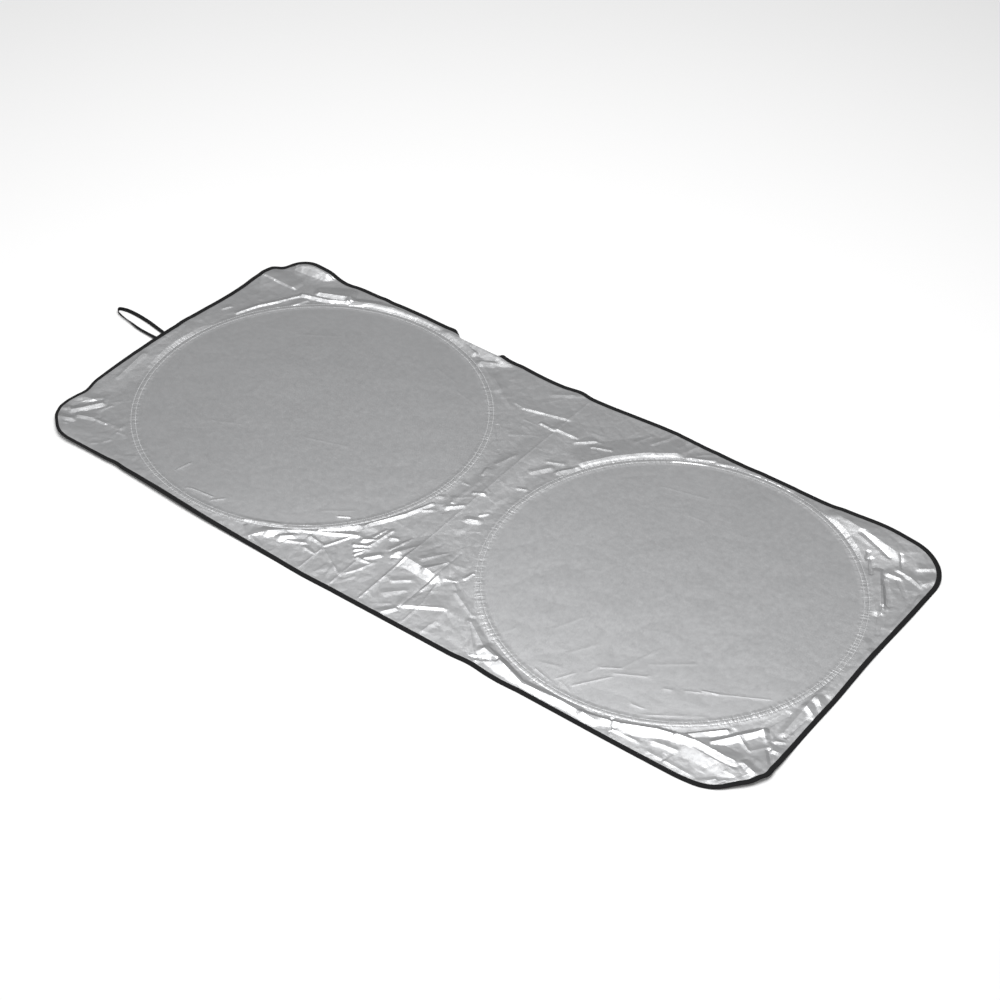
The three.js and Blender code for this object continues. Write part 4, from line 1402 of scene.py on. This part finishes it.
class SUNSHADE_OT_seams(Operator):
    """Sew the two rows beside each hoop, and the row that holds the binding"""

    bl_idname = "sunshade.seams"
    bl_label = "Stitching"

    def execute(self, context):
        scene = context.scene
        plan, cloth, edge_line = plan_and_cloth(scene)
        pitch = scene.sunshade_sizes.stitch / MM
        turn = full_turn(2 * RING_POINTS)
        hoop_thread, binding_thread = 0.42, 0.22
        rows = []
        for hx, hy in plan.hoops.values():
            for r in (plan.radius - plan.seam, plan.radius + plan.seam):
                x, y = hx + r * np.cos(turn), hy + r * np.sin(turn)
                line = np.column_stack([x, y, cloth.height(x, y) + plan.fabric])
                rows.append(stitch_row(line, pitch, 0.72 * pitch, hoop_thread))
        hoop_rows = new_object("hoop_stitches", *joined(rows))
        dress(hoop_rows, thread_finish("seam_thread", scene.sunshade_finish.thread))
        inner = edge_line.inward((plan.binding_width - 1.5) * edge_line.tape_share())
        top = edge_line.z + plan.fabric + CLEARANCE + plan.tape
        line = turned_under(cloth, np.column_stack([inner, top]))
        edge_rows = new_object("binding_stitches", *stitch_row(line, pitch, 0.7 * pitch, binding_thread))
        dress(edge_rows, thread_finish("binding_thread", scene.sunshade_finish.binding))
        return {"FINISHED"}


class SUNSHADE_OT_strap(Operator):
    """Make the elastic loop that holds the coiled shade shut"""

    bl_idname = "sunshade.strap"
    bl_label = "Elastic Loop"

    def execute(self, context):
        scene = context.scene
        sizes = scene.sunshade_sizes
        plan, cloth, edge_line = plan_and_cloth(scene)
        band = strap_band(plan, cloth, sizes.strap_width / MM, sizes.strap_thickness / MM)
        strap = new_object("elastic_loop", *band)
        dress(strap, tape_finish("black_elastic", scene.sunshade_finish.binding, 0.0005))
        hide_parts("strap_loop")
        return {"FINISHED"}


class SUNSHADE_OT_hoops(Operator):
    """Finish the casing tapes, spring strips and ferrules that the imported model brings"""

    bl_idname = "sunshade.hoops"
    bl_label = "Hoops and Casings"

    def execute(self, context):
        colours = context.scene.sunshade_finish
        finishes = {
            "casing": tape_finish("casing_tape", colours.casing, 0.0006, "Object"),
            "hoop": steel_finish("spring_steel", (0.32, 0.33, 0.35), 0.25),
            "ferrule": steel_finish("ferrule_metal", (0.6, 0.6, 0.62), 0.2),
        }
        for piece, finish in finishes.items():
            for side in ("left", "right"):
                dress(bpy.data.objects[piece + "_" + side], finish)
        return {"FINISHED"}


class SUNSHADE_OT_stage(Operator):
    """Set the pale floor, the studio light and the camera"""

    bl_idname = "sunshade.stage"
    bl_label = "Studio"

    def execute(self, context):
        scene = context.scene
        stage = scene.sunshade_stage
        half = 12.0
        corners = [(-half, -half, 0), (half, -half, 0), (half, half, 0), (-half, half, 0)]
        mesh = bpy.data.meshes.new("floor")
        mesh.from_pydata(corners, [], [(0, 1, 2, 3)])
        floor = bpy.data.objects.new("floor", mesh)
        scene.collection.objects.link(floor)
        pale = plain_finish("pale_floor", scene.sunshade_finish.floor, 0.9)
        glow = pale.node_tree.nodes["Principled BSDF"]
        glow.inputs["Emission Color"].default_value = (1, 1, 1, 1)
        glow.inputs["Emission Strength"].default_value = 0.07
        dress(floor, pale)

        scene.world = studio_surround(stage.surround)
        softbox = softbox_light("overhead_softbox", (0.1, -0.15, 2.6), (2.4, 2.2), stage.overhead)
        scene.collection.objects.link(softbox)

        az, el, roll = stage.azimuth, stage.elevation, stage.roll
        back = Vector((math.sin(az) * math.cos(el), -math.cos(az) * math.cos(el), math.sin(el)))
        right = Vector((math.cos(az), math.sin(az), 0))
        up = back.cross(right)
        rolled_right = right * math.cos(roll) + up * math.sin(roll)
        rolled_up = up * math.cos(roll) - right * math.sin(roll)
        camera = bpy.data.cameras.new("photo_camera")
        camera.lens = stage.lens
        camera.sensor_width = 36
        holder = bpy.data.objects.new("photo_camera", camera)
        turned = Matrix((rolled_right, rolled_up, back)).transposed().to_4x4()
        holder.matrix_world = Matrix.Translation(Vector(stage.target) + back * stage.distance) @ turned
        scene.collection.objects.link(holder)
        scene.camera = holder
        scene.view_settings.view_transform = "Standard"
        return {"FINISHED"}


class SUNSHADE_PT_sidebar(Panel):
    """Lists the pieces and the stage"""

    bl_idname = "SUNSHADE_PT_sidebar"
    bl_label = "Sunshade"
    bl_space_type = "VIEW_3D"
    bl_region_type = "UI"
    bl_category = "Sunshade"

    def draw(self, context):
        for step in STEPS:
            self.layout.operator(step.bl_idname)


STEPS = [
    SUNSHADE_OT_panel,
    SUNSHADE_OT_binding,
    SUNSHADE_OT_seams,
    SUNSHADE_OT_strap,
    SUNSHADE_OT_hoops,
    SUNSHADE_OT_stage,
]
SETTINGS = {
    "sunshade_sizes": SunshadeSizes,
    "sunshade_lay": SunshadeLay,
    "sunshade_finish": SunshadeFinish,
    "sunshade_stage": SunshadeStage,
}


def register():
    for item in [*SETTINGS.values(), *STEPS, SUNSHADE_PT_sidebar]:
        bpy.utils.register_class(item)
    for name, group in SETTINGS.items():
        setattr(bpy.types.Scene, name, PointerProperty(type=group))


def unregister():
    for name in SETTINGS:
        delattr(bpy.types.Scene, name)
    for item in [SUNSHADE_PT_sidebar, *reversed(STEPS), *SETTINGS.values()]:
        bpy.utils.unregister_class(item)


def main():
    register()
    bpy.ops.sunshade.panel()
    bpy.ops.sunshade.binding()
    bpy.ops.sunshade.seams()
    bpy.ops.sunshade.strap()
    bpy.ops.sunshade.hoops()
    bpy.ops.sunshade.stage()


if __name__ == "__main__":
    main()
